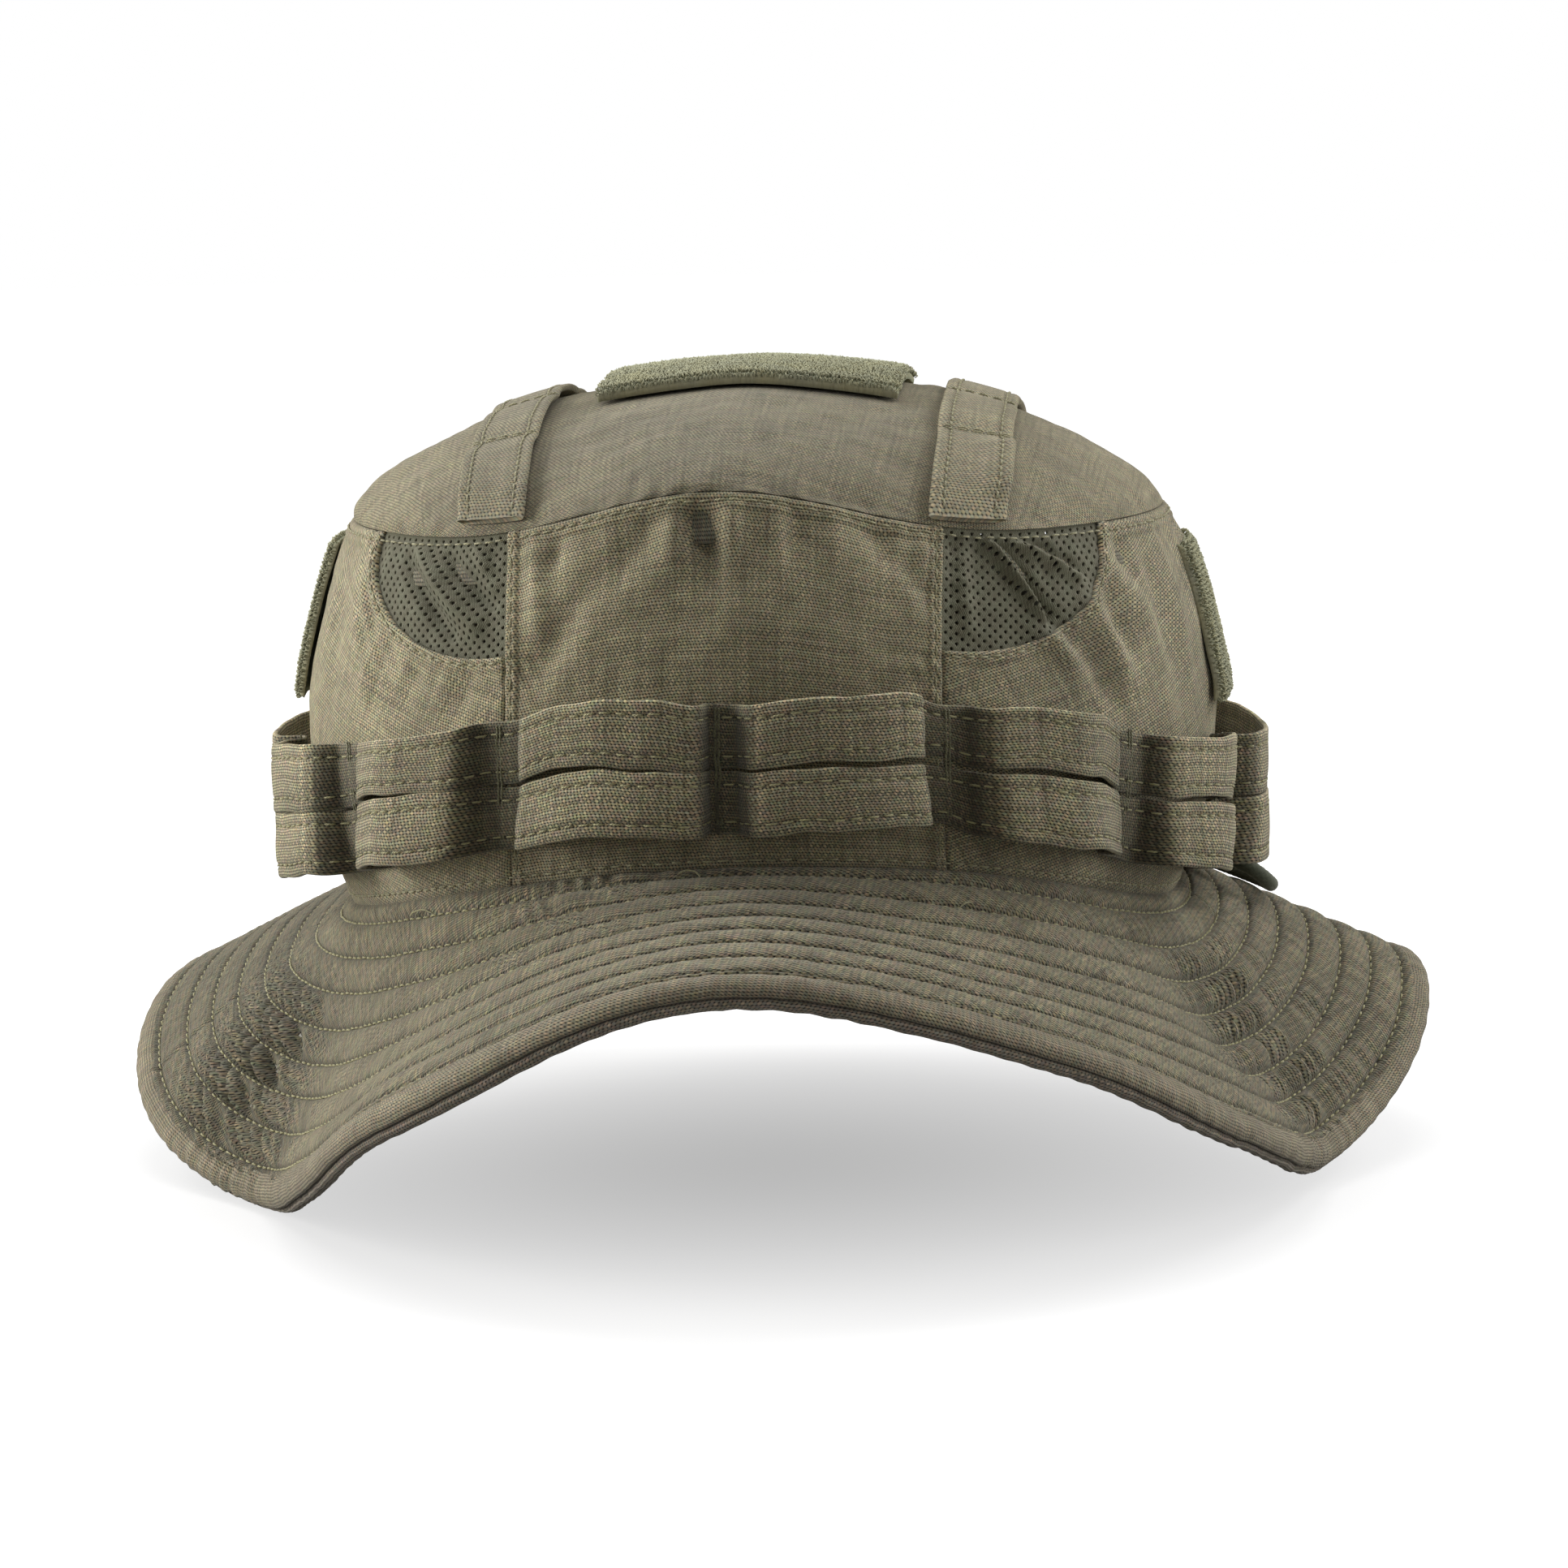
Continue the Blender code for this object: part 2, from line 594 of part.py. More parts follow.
half_strands = STRAND_PITCH / 2 + CORD_DIA / 2
SLOT = CORD_DIA + 0.8
lx, ly, lz = LOCK_SIZE
x_closed, x_open = -13.0, lx - 13.0
lock_plastic = material("cord_lock_plastic", BLACK, 0.45)
body = add("cord_lock_body", box_mesh("cord_lock_body", (x_closed, -ly / 2, -lz / 2), (x_open, ly / 2, lz / 2)),
           lock_plastic)
bev = body.modifiers.new("edges", "BEVEL")
bev.width, bev.segments, bev.limit_method = 2.6 * MM, 2, "ANGLE"
cut(body, cutter("cut_bore", turned_mesh("cut_bore", [(-11, 0), (-11, 4.1), (14, 4.1), (14, 0)])))
cut(body, cutter("cut_cord_slot", box_mesh("cut_cord_slot", (-half_strands - 0.5, -12, -SLOT / 2),
                                           (half_strands + 0.5, 12, SLOT / 2))))
button = add("cord_lock_button", turned_mesh("cord_lock_button", [
    (-5.2, 0), (-5.2, 3.4), (-4.9, 3.75), (13.4, 3.75), (13.4, 4.9), (13.9, 5.3), (15.4, 5.3), (16.2, 4.4),
    (16.4, 0)]), material("cord_lock_button_plastic", BLACK, 0.45))
cut(button, cutter("cut_button_slot", box_mesh("cut_button_slot", (-half_strands - 0.4, -8, -SLOT / 2),
                                               (half_strands + 0.4 + BUTTON_TRAVEL + 0.2, 8, SLOT / 2))))
turns, per = 4, 10
coil = []
for i in range(turns * per + 1):
    a = 2 * math.pi * i / per
    x = -10.4 + 4.6 * i / (turns * per)
    p = lock @ Vector((x * MM, 2.6 * math.cos(a) * MM, 2.6 * math.sin(a) * MM))
    coil.append(np.array(p) / MM)
tube("cord_lock_spring", coil, 0.6, material("cord_lock_spring_steel", (0.55, 0.55, 0.56), 0.3, 1.0), res=1)
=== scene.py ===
"""Boonie hat: visible model, materials, light and camera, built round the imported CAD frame."""
import math
import bpy
import numpy as np
from mathutils import Matrix, Vector


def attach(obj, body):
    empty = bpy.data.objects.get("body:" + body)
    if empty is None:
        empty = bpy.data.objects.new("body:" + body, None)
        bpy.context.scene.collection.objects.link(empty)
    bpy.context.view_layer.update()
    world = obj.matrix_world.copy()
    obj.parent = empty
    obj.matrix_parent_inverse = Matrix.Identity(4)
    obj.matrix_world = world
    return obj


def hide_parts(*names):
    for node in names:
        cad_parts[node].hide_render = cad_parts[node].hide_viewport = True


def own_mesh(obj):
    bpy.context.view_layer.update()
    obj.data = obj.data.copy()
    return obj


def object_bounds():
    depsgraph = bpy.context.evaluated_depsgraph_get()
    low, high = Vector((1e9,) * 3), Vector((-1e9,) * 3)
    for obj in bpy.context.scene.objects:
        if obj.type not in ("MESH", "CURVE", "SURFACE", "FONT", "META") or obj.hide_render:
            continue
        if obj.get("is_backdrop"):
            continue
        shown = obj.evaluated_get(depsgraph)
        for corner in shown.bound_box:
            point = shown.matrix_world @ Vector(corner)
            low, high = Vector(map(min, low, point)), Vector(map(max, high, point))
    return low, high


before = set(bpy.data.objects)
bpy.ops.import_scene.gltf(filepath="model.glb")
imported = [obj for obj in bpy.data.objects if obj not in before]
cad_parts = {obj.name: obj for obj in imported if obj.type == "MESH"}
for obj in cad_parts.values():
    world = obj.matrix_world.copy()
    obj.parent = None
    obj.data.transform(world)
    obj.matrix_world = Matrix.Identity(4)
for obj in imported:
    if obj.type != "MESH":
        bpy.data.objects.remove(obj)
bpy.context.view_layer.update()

MM = 0.001
R = np.radians
PI = math.pi

# ---------------------------------------------------------------- the hat's dimensions (mm, degrees)
HEAD_HALF_WIDTH, HEAD_HALF_LENGTH = 83.0, 104.0
TIP_HALF_WIDTH, TIP_HALF_LENGTH = 81.0, 98.0
SIDE_BULGE, FRONT_BULGE = 9.0, 7.0
SADDLE, TIP_SEAM_Z, TIP_SEAM_RISE, CROWN_Z = 17.5, 74.0, 13.0, 104.0
PANEL_SEAM_X = 40.5
BRIM_SHEET, BRIM_WIDTH = 56.0, 62.0
BRIM_DROOP = ((-90, 11), (-65, 23), (-45, 42), (-25, 61), (-5, 51), (15, 24), (30, 30), (45, 31), (90, 27),
              (135, 26), (150, 26), (165, 28), (185, 46), (205, 67), (225, 59), (245, 37))
VENT_SPAN, VENT_DROP = 28.0, 0.35
TACKS = (-90, -60, -33, -6, 27, 60, 90, 120, 153, 186, 213, 240)
BAND_RISE = ((-120, 1.4), (-105, 3.0), (-90, 1.4), (-75, 3.6), (-60, 3.8), (-45, 4.0), (-33, 2.2), (-6, 0.5), (27, 0.0),
             (186, 0.0), (213, 0.6), (240, 1.4))
BAND_LOW, BAND_SPLIT, BAND_TOP, BAND_BULGE = 0.085, 0.266, 0.448, 10.4
DEG_MM = 95.0 * PI / 180.0
WALL = 76.0
STRAP_X, STRAP_WIDTH = 45.0, 14.0
CORD_DIA, CORD_LIE = 3.0, 18.0
TAIL_START, TAIL_END, TAIL_LIFT, STRAND_PITCH, LOCK_AT = 31.0, 78.0, 6.6, 4.2, 43.0


# ---------------------------------------------------------------- small helpers
def smooth(a, b, x):
    t = np.clip((x - a) / (b - a), 0.0, 1.0)
    return t * t * (3 - 2 * t)


def window(a, b, c, d, x):
    return smooth(a, b, x) * (1 - smooth(c, d, x))


def wrap(u):
    return (np.asarray(u, float) + 270.0) % 360.0 - 270.0


def unit(a):
    return a / np.maximum(np.linalg.norm(a, axis=-1, keepdims=True), 1e-12)


def _hash(i, j, k, seed):
    h = (i * 374761393 + j * 668265263 + k * 1442695041 + int(seed) * 974711) & 0xFFFFFFFF
    h = ((h ^ (h >> 13)) * 1274126177) & 0xFFFFFFFF
    return ((h ^ (h >> 16)) & 0xFFFFFF) / 8388607.5 - 1.0


def noise(p, size, seed=0):
    """Smooth noise from -1 to 1 at points p (mm), with lumps about `size` mm across."""
    q = np.asarray(p, float) / size + 211.37
    i = np.floor(q).astype(np.int64)
    f = q - i
    f = f * f * (3 - 2 * f)
    out = 0.0
    for dx in (0, 1):
        wx = f[..., 0] if dx else 1 - f[..., 0]
        for dy in (0, 1):
            wy = f[..., 1] if dy else 1 - f[..., 1]
            for dz in (0, 1):
                wz = f[..., 2] if dz else 1 - f[..., 2]
                out = out + wx * wy * wz * _hash(i[..., 0] + dx, i[..., 1] + dy, i[..., 2] + dz, seed)
    return out


def fbm(p, size, seed=0, octaves=3, gain=0.5):
    out, amp = 0.0, 1.0
    for k in range(octaves):
        out = out + amp * noise(p, size / 2 ** k, seed + 31 * k)
        amp *= gain
    return out


def n1(x, size, seed=0):
    x = np.asarray(x, float)
    return noise(np.stack([x, np.full_like(x, seed * 3.7), np.zeros_like(x)], -1), size, seed)


def pucker(t, d, lam, amp, reach, seed):
    """Short wrinkles that run away from a seam: t along the seam, d away from it, in mm."""
    phase = 2 * PI * (t / lam + 1.1 * n1(t, lam * 2.6, seed))
    env = 0.25 + 0.95 * np.abs(n1(t, lam * 4.5, seed + 5))
    g = np.clip(d, 0, None) / reach
    return amp * env * g * np.exp(1 - g) * np.cos(phase)


# ---------------------------------------------------------------- shape of the hat, as in the CAD
def half_axes(v):
    a = HEAD_HALF_WIDTH + (TIP_HALF_WIDTH - HEAD_HALF_WIDTH) * v + SIDE_BULGE * 4 * v * (1 - v)
    b = HEAD_HALF_LENGTH + (TIP_HALF_LENGTH - HEAD_HALF_LENGTH) * v + FRONT_BULGE * 4 * v * (1 - v)
    return a, b


def foot_z(phi):
    return SADDLE * np.sin(phi) ** 2


def tip_z(phi):
    """The tip seam runs almost level round the sides and rises over the front and back."""
    return TIP_SEAM_Z + 2.8 + (TIP_SEAM_RISE - 2.8) * np.abs(np.sin(phi)) ** 11


def foot_lift(u):
    """The front right of the foot seam sits a little higher than the left."""
    return 2.3 * np.exp(-((wrap(u) + 52) / 30) ** 2)


def azimuth(u, v):
    a = half_axes(np.clip(v, 0, 1))[0]
    return R(u) + np.sin(2 * R(u)) / 0.8660254 * (np.arccos(PANEL_SEAM_X / a) - R(60))


def wall_raw(u, v):
    u, v = np.broadcast_arrays(np.asarray(u, float), np.asarray(v, float))
    phi = azimuth(u, v)
    a, b = half_axes(v)
    z = foot_z(phi) * (1 - v) + tip_z(phi) * v + foot_lift(u) * np.clip(1 - v, 0, 2) ** 2
    return np.stack([a * np.cos(phi), b * np.sin(phi), z], -1)


def dome_raw(u, w):
    u, w = np.broadcast_arrays(np.asarray(u, float), np.asarray(w, float))
    phi = azimuth(u, 1.0)
    th = w * PI / 2
    z0 = tip_z(phi)
    z = z0 + (CROWN_Z - z0) * np.clip(np.cos(th), 0, 1) ** 1.4
    return np.stack([TIP_HALF_WIDTH * np.sin(th) * np.cos(phi), TIP_HALF_LENGTH * np.sin(th) * np.sin(phi), z], -1)


def _droop_one(x):
    x = (x + 90.0) % 360.0 - 90.0
    n = len(BRIM_DROOP)

    def st(i):
        return BRIM_DROOP[i % n][0] + 360.0 * (i // n), float(BRIM_DROOP[i % n][1])
    i = max(j for j in range(n) if BRIM_DROOP[j][0] <= x + 1e-9)
    (x0, y0), (x1, y1), (xa, ya), (xb, yb) = st(i), st(i + 1), st(i - 1), st(i + 2)
    h = x1 - x0
    m0, m1 = (y1 - ya) / (x1 - xa), (yb - y0) / (xb - x0)
    t = (x - x0) / h
    return ((2 * t ** 3 - 3 * t ** 2 + 1) * y0 + (t ** 3 - 2 * t ** 2 + t) * h * m0
            + (-2 * t ** 3 + 3 * t ** 2) * y1 + (t ** 3 - t ** 2) * h * m1)


_dx = np.arange(-90.0, 270.01, 0.5)
_dy = np.array([_droop_one(x) for x in _dx[:-1]] + [_droop_one(-90.0)])


def droop(u):
    return R(np.interp((np.asarray(u, float) + 90.0) % 360.0 - 90.0, _dx, _dy))


def brim_raw(u, s):
    u, s = np.broadcast_arrays(np.asarray(u, float), np.asarray(s, float))
    x = wrap(u)
    phi = R(u)
    # the folds in front run aslant over the rows
    shift = (window(-184, -166, -122, -104, x) * 7.5 * np.clip(1 - s / 46, -0.12, 1)
             + window(-62, -44, -14, -1, x) * 1.8 * np.sin(PI * np.clip(s / 62, 0, 1)))
    ease = np.interp(x, (-56, -50, -44, -38, -32, -26, -20, -14, -8, -2, 4, 10, 16), (0, .5, 1.4, 4.0, 7.0, 8.0, 5.7, 2.0, 1.7, 2.0, 2.0, 1.0, 0))
    d = droop(u - shift) - R(ease) * smooth(20, 60, s)
    s = s * (1 + 0.034 * np.exp(-((x + 178) / 24) ** 2))
    nx, ny = np.cos(phi) / HEAD_HALF_WIDTH, np.sin(phi) / HEAD_HALF_LENGTH
    k = np.hypot(nx, ny)
    r = s * np.cos(d) / k
    z = foot_z(phi) - s * np.sin(d) + foot_lift(u) * np.clip(1 - s / 30, 0, 1.2) ** 2
    return np.stack([HEAD_HALF_WIDTH * np.cos(phi) + nx * r, HEAD_HALF_LENGTH * np.sin(phi) + ny * r, z], -1)


class Surface:
    """A skin of the hat: raw shape, what its cloth does on top of it, and points off it."""

    def __init__(self, raw, disp, du, dt, sign):
        self.raw, self.disp, self.du, self.dt, self.sign = raw, disp, du, dt, sign

    def normal(self, u, t):
        return self.sign * unit(np.cross(self.raw(u + self.du, t) - self.raw(u - self.du, t),
                                         self.raw(u, t + self.dt) - self.raw(u, t - self.dt)))

    def __call__(self, u, t, off=0.0, soft=1.0):
        u, t = np.broadcast_arrays(np.asarray(u, float), np.asarray(t, float))
        h = np.asarray(off, float) + (soft * self.disp(u, t) if soft else 0.0)
        h = np.broadcast_to(h, u.shape)
        return self.raw(u, t) + self.normal(u, t) * h[..., None]


# creases pressed into the crown cloth: from (azimuth, height) to (azimuth, height), width and depth in mm
FOLDS = [
    (-93.0, .965, -90.6, .80, 3.9, -1.55), (-88.0, .97, -88.2, .80, 2.8, .85), (-96.2, .96, -95.4, .84, 2.6, .60),
    (-86.0, .74, -89.5, .60, 5.0, .45), (-76, .86, -84, .62, 6.0, .50),
    (-82.5, .95, -82.0, .80, 3.2, .55), (-79.5, .96, -79.8, .84, 3.0, -.45),
    (-98.5, .93, -106, .80, 4.0, -.85), (-106, .80, -115.5, .60, 4.0, -1.0), (-104, .85, -110, .68, 3.6, .70),
    (-115.5, .93, -115, .72, 2.8, .70), (-112, .95, -113, .88, 2.0, -.50),
    (-70, .97, -62.8, .80, 3.4, -.80), (-67, .90, -62.5, .72, 3.0, .55), (-73.5, .96, -74.5, .86, 2.8, .45),
    (-46, .735, -38, .61, 2.7, .95), (-43.5, .76, -33.5, .53, 2.9, -1.0), (-37.5, .80, -31.5, .60, 2.6, .80),
    (-34, .83, -30, .66, 2.3, -.65), (-28, .95, -27, .86, 3.2, -.90), (-30, .88, -24, .66, 3.0, .50),
    (-23, .86, -21, .66, 3.6, -.50), (-17, .92, -16, .55, 3.6, .45),
    (-129, .64, -131, .55, 2.0, .35), (-126, .63, -127, .54, 1.8, -.35), (-134, .67, -137, .58, 2.0, -.3),
    (-150, .88, -146, .58, 4.5, .50), (-157, .92, -155, .60, 4.5, -.45), (-143, .74, -146, .60, 2.6, .4),
]
FOLDS += [(-a + 4, b, -c + 4, d, w * 1.15, h * 0.8) for a, b, c, d, w, h in FOLDS]


def creases(u, v, folds):
    out = np.zeros(np.shape(u))
    for u0, v0, u1, v1, w, h in folds:
        x = (np.asarray(u) - u0 + 180.0) % 360.0 - 180.0
        if np.min(np.abs(x)) > 25:
            continue
        bx, by = (u1 - u0) * DEG_MM, (v1 - v0) * WALL
        px, py = x * DEG_MM, (v - v0) * WALL
        t = np.clip((px * bx + py * by) / (bx * bx + by * by), 0, 1)
        d2 = (px - t * bx) ** 2 + (py - t * by) ** 2
        out = out + 1.9 * h * np.exp(-d2 / w ** 2) * (0.55 + 0.45 * np.sin(PI * np.clip(t, 0.0, 1.0)))
    return out


def seam_wave(u):
    return 0.28 * n1(wrap(u) * DEG_MM, 8.0, 71)


def vent_low(t):
    return 1.0 - VENT_DROP * np.clip(1 - np.clip(t, 0, 1) ** 1.95, 0, 1) ** (1 / 1.95)


def vent_distance(u, v):
    """mm outside (+) or inside (-) the nearest mesh vent, and how far round the crown from its seam."""
    x = wrap(u)
    best = np.full(np.shape(x), 1e3)
    for seam, way in ((-60, 1), (-120, -1), (60, -1), (120, 1), (-240, 1)):
        t = way * (x - seam) / VENT_SPAN
        t = np.where(t < -0.2, 9.0, t)
        tt, hh = np.clip(np.abs(t), 1e-4, None), np.clip((1 - v) / VENT_DROP, 1e-4, None)
        f = (tt ** 1.95 + hh ** 1.95) ** (1 / 1.95)
        gx = f ** -0.95 * tt ** 0.95 / (VENT_SPAN * DEG_MM)
        gy = f ** -0.95 * hh ** 0.95 / (VENT_DROP * WALL)
        best = np.minimum(best, (f - 1) / np.hypot(gx, gy))
    return best


def seam_distance(u):
    x = wrap(u)
    return np.min([np.abs(x - s) for s in (-240, -120, -60, 60)], axis=0) * DEG_MM


def wall_disp(u, v):
    P = wall_raw(u, v)
    x = wrap(u)
    tip, foot, seam = (1 - v) * WALL, v * WALL, seam_distance(u)
    keep = smooth(0, 7, tip) * smooth(-1, 5, foot) * (0.35 + 0.65 * smooth(0, 7, seam))
    low = 0.45 + 0.55 * smooth(0.40, 0.56, v)
    d = keep * low * (0.75 * fbm(P, 34, 3) + 0.42 * fbm(P, 11, 9, 3)) + creases(u, v, FOLDS) * smooth(0, 4, tip) * low
    d = d + pucker(x * DEG_MM, tip, 6.5, 0.30, 4.5, 11)
    d = d + pucker(x * DEG_MM, foot, 5.5, 0.16, 3.0, 17)
    d = d + pucker(v * WALL, seam, 6.0, 0.22, 3.6, 23) * smooth(0.0, 0.1, v)
    vd = vent_distance(u, v)
    d = d + pucker((x * DEG_MM) + (v * WALL) * 0.6, vd, 5.0, 0.26, 3.8, 29) * (vd > 0)
    return d + (1 - smooth(0, 6, tip)) * seam_wave(u)


def dome_disp(u, w):
    P = dome_raw(u, w)
    edge = (1 - w) * 100.0
    ax, ay = np.abs(P[..., 0]), np.abs(P[..., 1])
    under = 1 - (1 - smooth(31, 37, ax)) * (1 - smooth(36, 42, ay))
    strap = 1 - 0.75 * (1 - smooth(7, 12, np.abs(ax - STRAP_X)))
    d = smooth(0, 12, edge) * under * strap * (0.95 * fbm(P, 30, 41) + 0.45 * fbm(P, 10, 47, 3))
    d = d + pucker(wrap(u) * DEG_MM, edge, 8.0, 0.34, 6.0, 53) * strap
    return d - 0.35 * (1 - under) + (1 - smooth(0, 6, edge)) * seam_wave(u)


ROWS = 8


def row_s(u, k):
    """Where stitch row k runs over the brim; the rows wander a little."""
    x = wrap(u) * DEG_MM
    return 4.0 + 7.25 * k + 0.40 * n1(x, 46.0, 100 + k) + 0.14 * n1(x, 11.0, 120 + k)


def brim_disp(u, s):
    x = wrap(u)
    P = brim_raw(u, s)
    arc = x * DEG_MM * (1 + 0.35 * s / 62)
    rows = np.stack([row_s(u, k) for k in range(ROWS)], 0)
    k = np.clip(np.sum(s[None] >= rows, axis=0) - 1, -1, ROWS - 1)
    lo = np.where(k >= 0, np.take_along_axis(rows, np.clip(k, 0, ROWS - 1)[None], 0)[0], -3.0)
    hi = np.where(k < ROWS - 1, np.take_along_axis(rows, np.clip(k + 1, 0, ROWS - 1)[None], 0)[0], 61.0)
    f = np.clip((s - lo) / (hi - lo), 0, 1)
    hump = np.clip(4 * f * (1 - f), 0, 1)
    right = window(-100, -40, 40, 80, x)
    puff = 0.58 + 0.42 * right + 0.16 * np.exp(-((x + 88) / 26) ** 2)
    puff = puff + 0.22 * n1(arc + 37.0 * k, 30.0, 140)
    d = puff * hump ** 0.62 - 0.16
    # the cloth gathers where the brim folds
    left_c, right_c = 1.25 * np.exp(-((x + 165 - 0.15 * (s - 30)) / 10.0) ** 2), np.exp(-((x + 15) / 10.5) ** 2)
    gather = (left_c * smooth(12, 26, s) + right_c * smooth(8, 20, s)) * 2.0 * (1 - 0.72 * smooth(50, 60, s))
    gather = gather + 0.62 * np.exp(-((x + 106) / 10) ** 2) * (1 - smooth(18, 32, s))
    gather = gather + 0.35 * (np.exp(-((x + 218) / 10) ** 2) + np.exp(-((x - 36) / 10) ** 2)) + 0.13
    lam = 3.7 + 0.9 * n1(arc + 11.0 * k, 40.0, 150)
    ph = 2 * PI * (arc / 5.4 + 1.3 * n1(arc + 17.0 * k, 11.0, 160) + 0.12 * k)
    env = 0.45 + 0.95 * np.abs(n1(arc + 19.0 * k, 13.0, 170))
    d = d + gather * env * np.cos(ph + 0.9 * (f - 0.5)) * hump ** 0.8 * (lam / 3.9)
    # slow waves, and the two radial seams where the front and back halves of the brim meet
    d = d + (s / 62) * 0.75 * fbm(P, 42, 181, 2) + 0.16 * fbm(P, 8, 187, 2) * hump
    for c in (0.0, -180.0):
        e = (x - c) * DEG_MM * (1 + 0.4 * s / 62)
        d = d - 0.30 * np.exp(-(e / 0.5) ** 2) + 0.14 * np.exp(-((np.abs(e) - 1.9) / 1.2) ** 2)
    brim_disp.hollow = hump ** 0.5 * (1 - 0.95 * np.clip(gather, 0, 2) / 2 * (0.5 - 0.5 * np.cos(ph + 0.9 * (f - 0.5))) * np.clip(env, 0, 1.2))
    return d * smooth(-1.0, 2.0, s) - 0.30 * (1 - smooth(-0.5, 1.5, s))


wall = Surface(wall_raw, wall_disp, 0.4, 0.01, 1.0)
dome = Surface(dome_raw, dome_disp, 0.4, 0.004, -1.0)
brim = Surface(brim_raw, brim_disp, 0.4, 0.5, -1.0)


def wall_out(u, v, off):
    u, v = np.broadcast_arrays(np.asarray(u, float), np.asarray(v, float))
    p = wall_raw(u, v)
    e = wall_raw(u + 0.4, v) - wall_raw(u - 0.4, v)
    n = unit(np.stack([e[..., 1], -e[..., 0], np.zeros_like(e[..., 0])], -1))
    return p + n * np.broadcast_to(off, u.shape)[..., None]


def dome_xy(x, y, off=0.0):
    x, y = np.broadcast_arrays(np.asarray(x, float), np.asarray(y, float))

    def h(x, y):
        q = (x / TIP_HALF_WIDTH) ** 2 + (y / TIP_HALF_LENGTH) ** 2
        z0 = tip_z(np.arctan2(y / TIP_HALF_LENGTH, x / TIP_HALF_WIDTH))
        return z0 + (CROWN_Z - z0) * np.clip(1 - q, 0, 1) ** 0.7
    e = 0.25
    n = unit(np.stack([-(h(x + e, y) - h(x - e, y)) / (2 * e), -(h(x, y + e) - h(x, y - e)) / (2 * e),
                       np.ones_like(x)], -1))
    return np.stack([x, y, h(x, y)], -1) + n * np.broadcast_to(off, x.shape)[..., None]


# ---------------------------------------------------------------- meshes
def build(name, verts, faces, mat, uv=None, attrs=None, body="hat", flat=False):
    """Mesh object from points in mm and a list of face arrays; uv in mm per point."""
    me = bpy.data.meshes.new(name)
    verts = np.asarray(verts, float).reshape(-1, 3)
    me.vertices.add(len(verts))
    me.vertices.foreach_set("co", (verts * MM).astype(np.float32).ravel())
    faces = [np.asarray(f, np.int64) for f in faces if len(f)]
    loops = np.concatenate([f.ravel() for f in faces])
    sizes = np.concatenate([np.full(len(f), f.shape[1]) for f in faces])
    starts = np.concatenate([[0], np.cumsum(sizes)[:-1]])
    me.loops.add(len(loops))
    me.loops.foreach_set("vertex_index", loops.astype(np.int32))
    me.polygons.add(len(sizes))
    me.polygons.foreach_set("loop_start", starts.astype(np.int32))
    me.update(calc_edges=True)
    if uv is not None:
        layer = me.uv_layers.new(name="cloth")
        layer.data.foreach_set("uv", np.asarray(uv, np.float32).reshape(-1, 2)[loops].ravel())
    for key, val in (attrs or {}).items():
        a = me.attributes.new(key, "FLOAT", "POINT")
        a.data.foreach_set("value", np.broadcast_to(np.asarray(val, np.float32).ravel(), (len(verts),)).copy())
    if not flat:
        me.shade_smooth()
    me.materials.append(mat)
    ob = bpy.data.objects.new(name, me)
    bpy.context.collection.objects.link(ob)
    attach(ob, body)
    return ob


def quads(nu, nv, ring_u=False, ring_v=False, base=0, flip=False):
    i = np.arange(nu if ring_u else nu - 1)
    j = np.arange(nv if ring_v else nv - 1)
    i, j = np.meshgrid(i, j, indexing="ij")
    i1, j1 = (i + 1) % nu, (j + 1) % nv
    q = np.stack([i * nv + j, i1 * nv + j, i1 * nv + j1, i * nv + j1], -1).reshape(-1, 4) + base
    return q[:, ::-1] if flip else q


def solid(name, P, Q, uv, mat, ring=False, flip=False, attrs=None, body="hat"):
    """Closed sheet between two grids of points."""
    nu, nv = P.shape[:2]
    n = nu * nv
    f = [quads(nu, nv, ring, False, 0, flip), quads(nu, nv, ring, False, n, not flip)]

    def rim(a):
        a = np.asarray(a)
        b = np.roll(a, -1) if (ring and len(a) == nu) else a[1:]
        a = a if (ring and len(a) == nu) else a[:-1]
        q = np.stack([a, b, b + n, a + n], -1)
        return q
    i = np.arange(nu)
    lo, hi = rim(i * nv), rim(i * nv + nv - 1)
    f += [lo[:, ::-1] if not flip else lo, hi if not flip else hi[:, ::-1]]
    if not ring:
        j = np.arange(nv)
        a, b = j, (nu - 1) * nv + j
        qa = np.stack([a[:-1], a[1:], a[1:] + n, a[:-1] + n], -1)
        qb = np.stack([b[:-1], b[1:], b[1:] + n, b[:-1] + n], -1)
        f += [qa if not flip else qa[:, ::-1], qb[:, ::-1] if not flip else qb]
    at = {k: np.concatenate([np.broadcast_to(v, (nu, nv)).ravel()] * 2) for k, v in (attrs or {}).items()}
    V = np.concatenate([P.reshape(-1, 3), Q.reshape(-1, 3)])
    U = np.concatenate([uv.reshape(-1, 2)] * 2)
    f = [np.where(True, x, x) for x in f]
    return build(name, V, [x[:, ::-1] if k in (0, 1) and False else x for k, x in enumerate(f)], mat, U, at, body)


def spaced(a, b, step, fine=0.0, fine_step=0.4):
    """Values from a to b about `step` apart, closer together within `fine` of both ends."""
    if fine <= 0:
        return np.linspace(a, b, max(3, int(round(abs(b - a) / step)) + 1))
    m = max(2, int(round(fine / fine_step)))
    left = np.linspace(a, a + fine, m + 1)
    right = np.linspace(b - fine, b, m + 1)
    mid = np.linspace(a + fine, b - fine, max(2, int(round((b - a - 2 * fine) / step)) + 1))
    return np.concatenate([left[:-1], mid, right[1:]])


def turn(uv, deg):
    c, s = math.cos(R(deg)), math.sin(R(deg))
    return np.stack([uv[..., 0] * c - uv[..., 1] * s, uv[..., 0] * s + uv[..., 1] * c], -1)


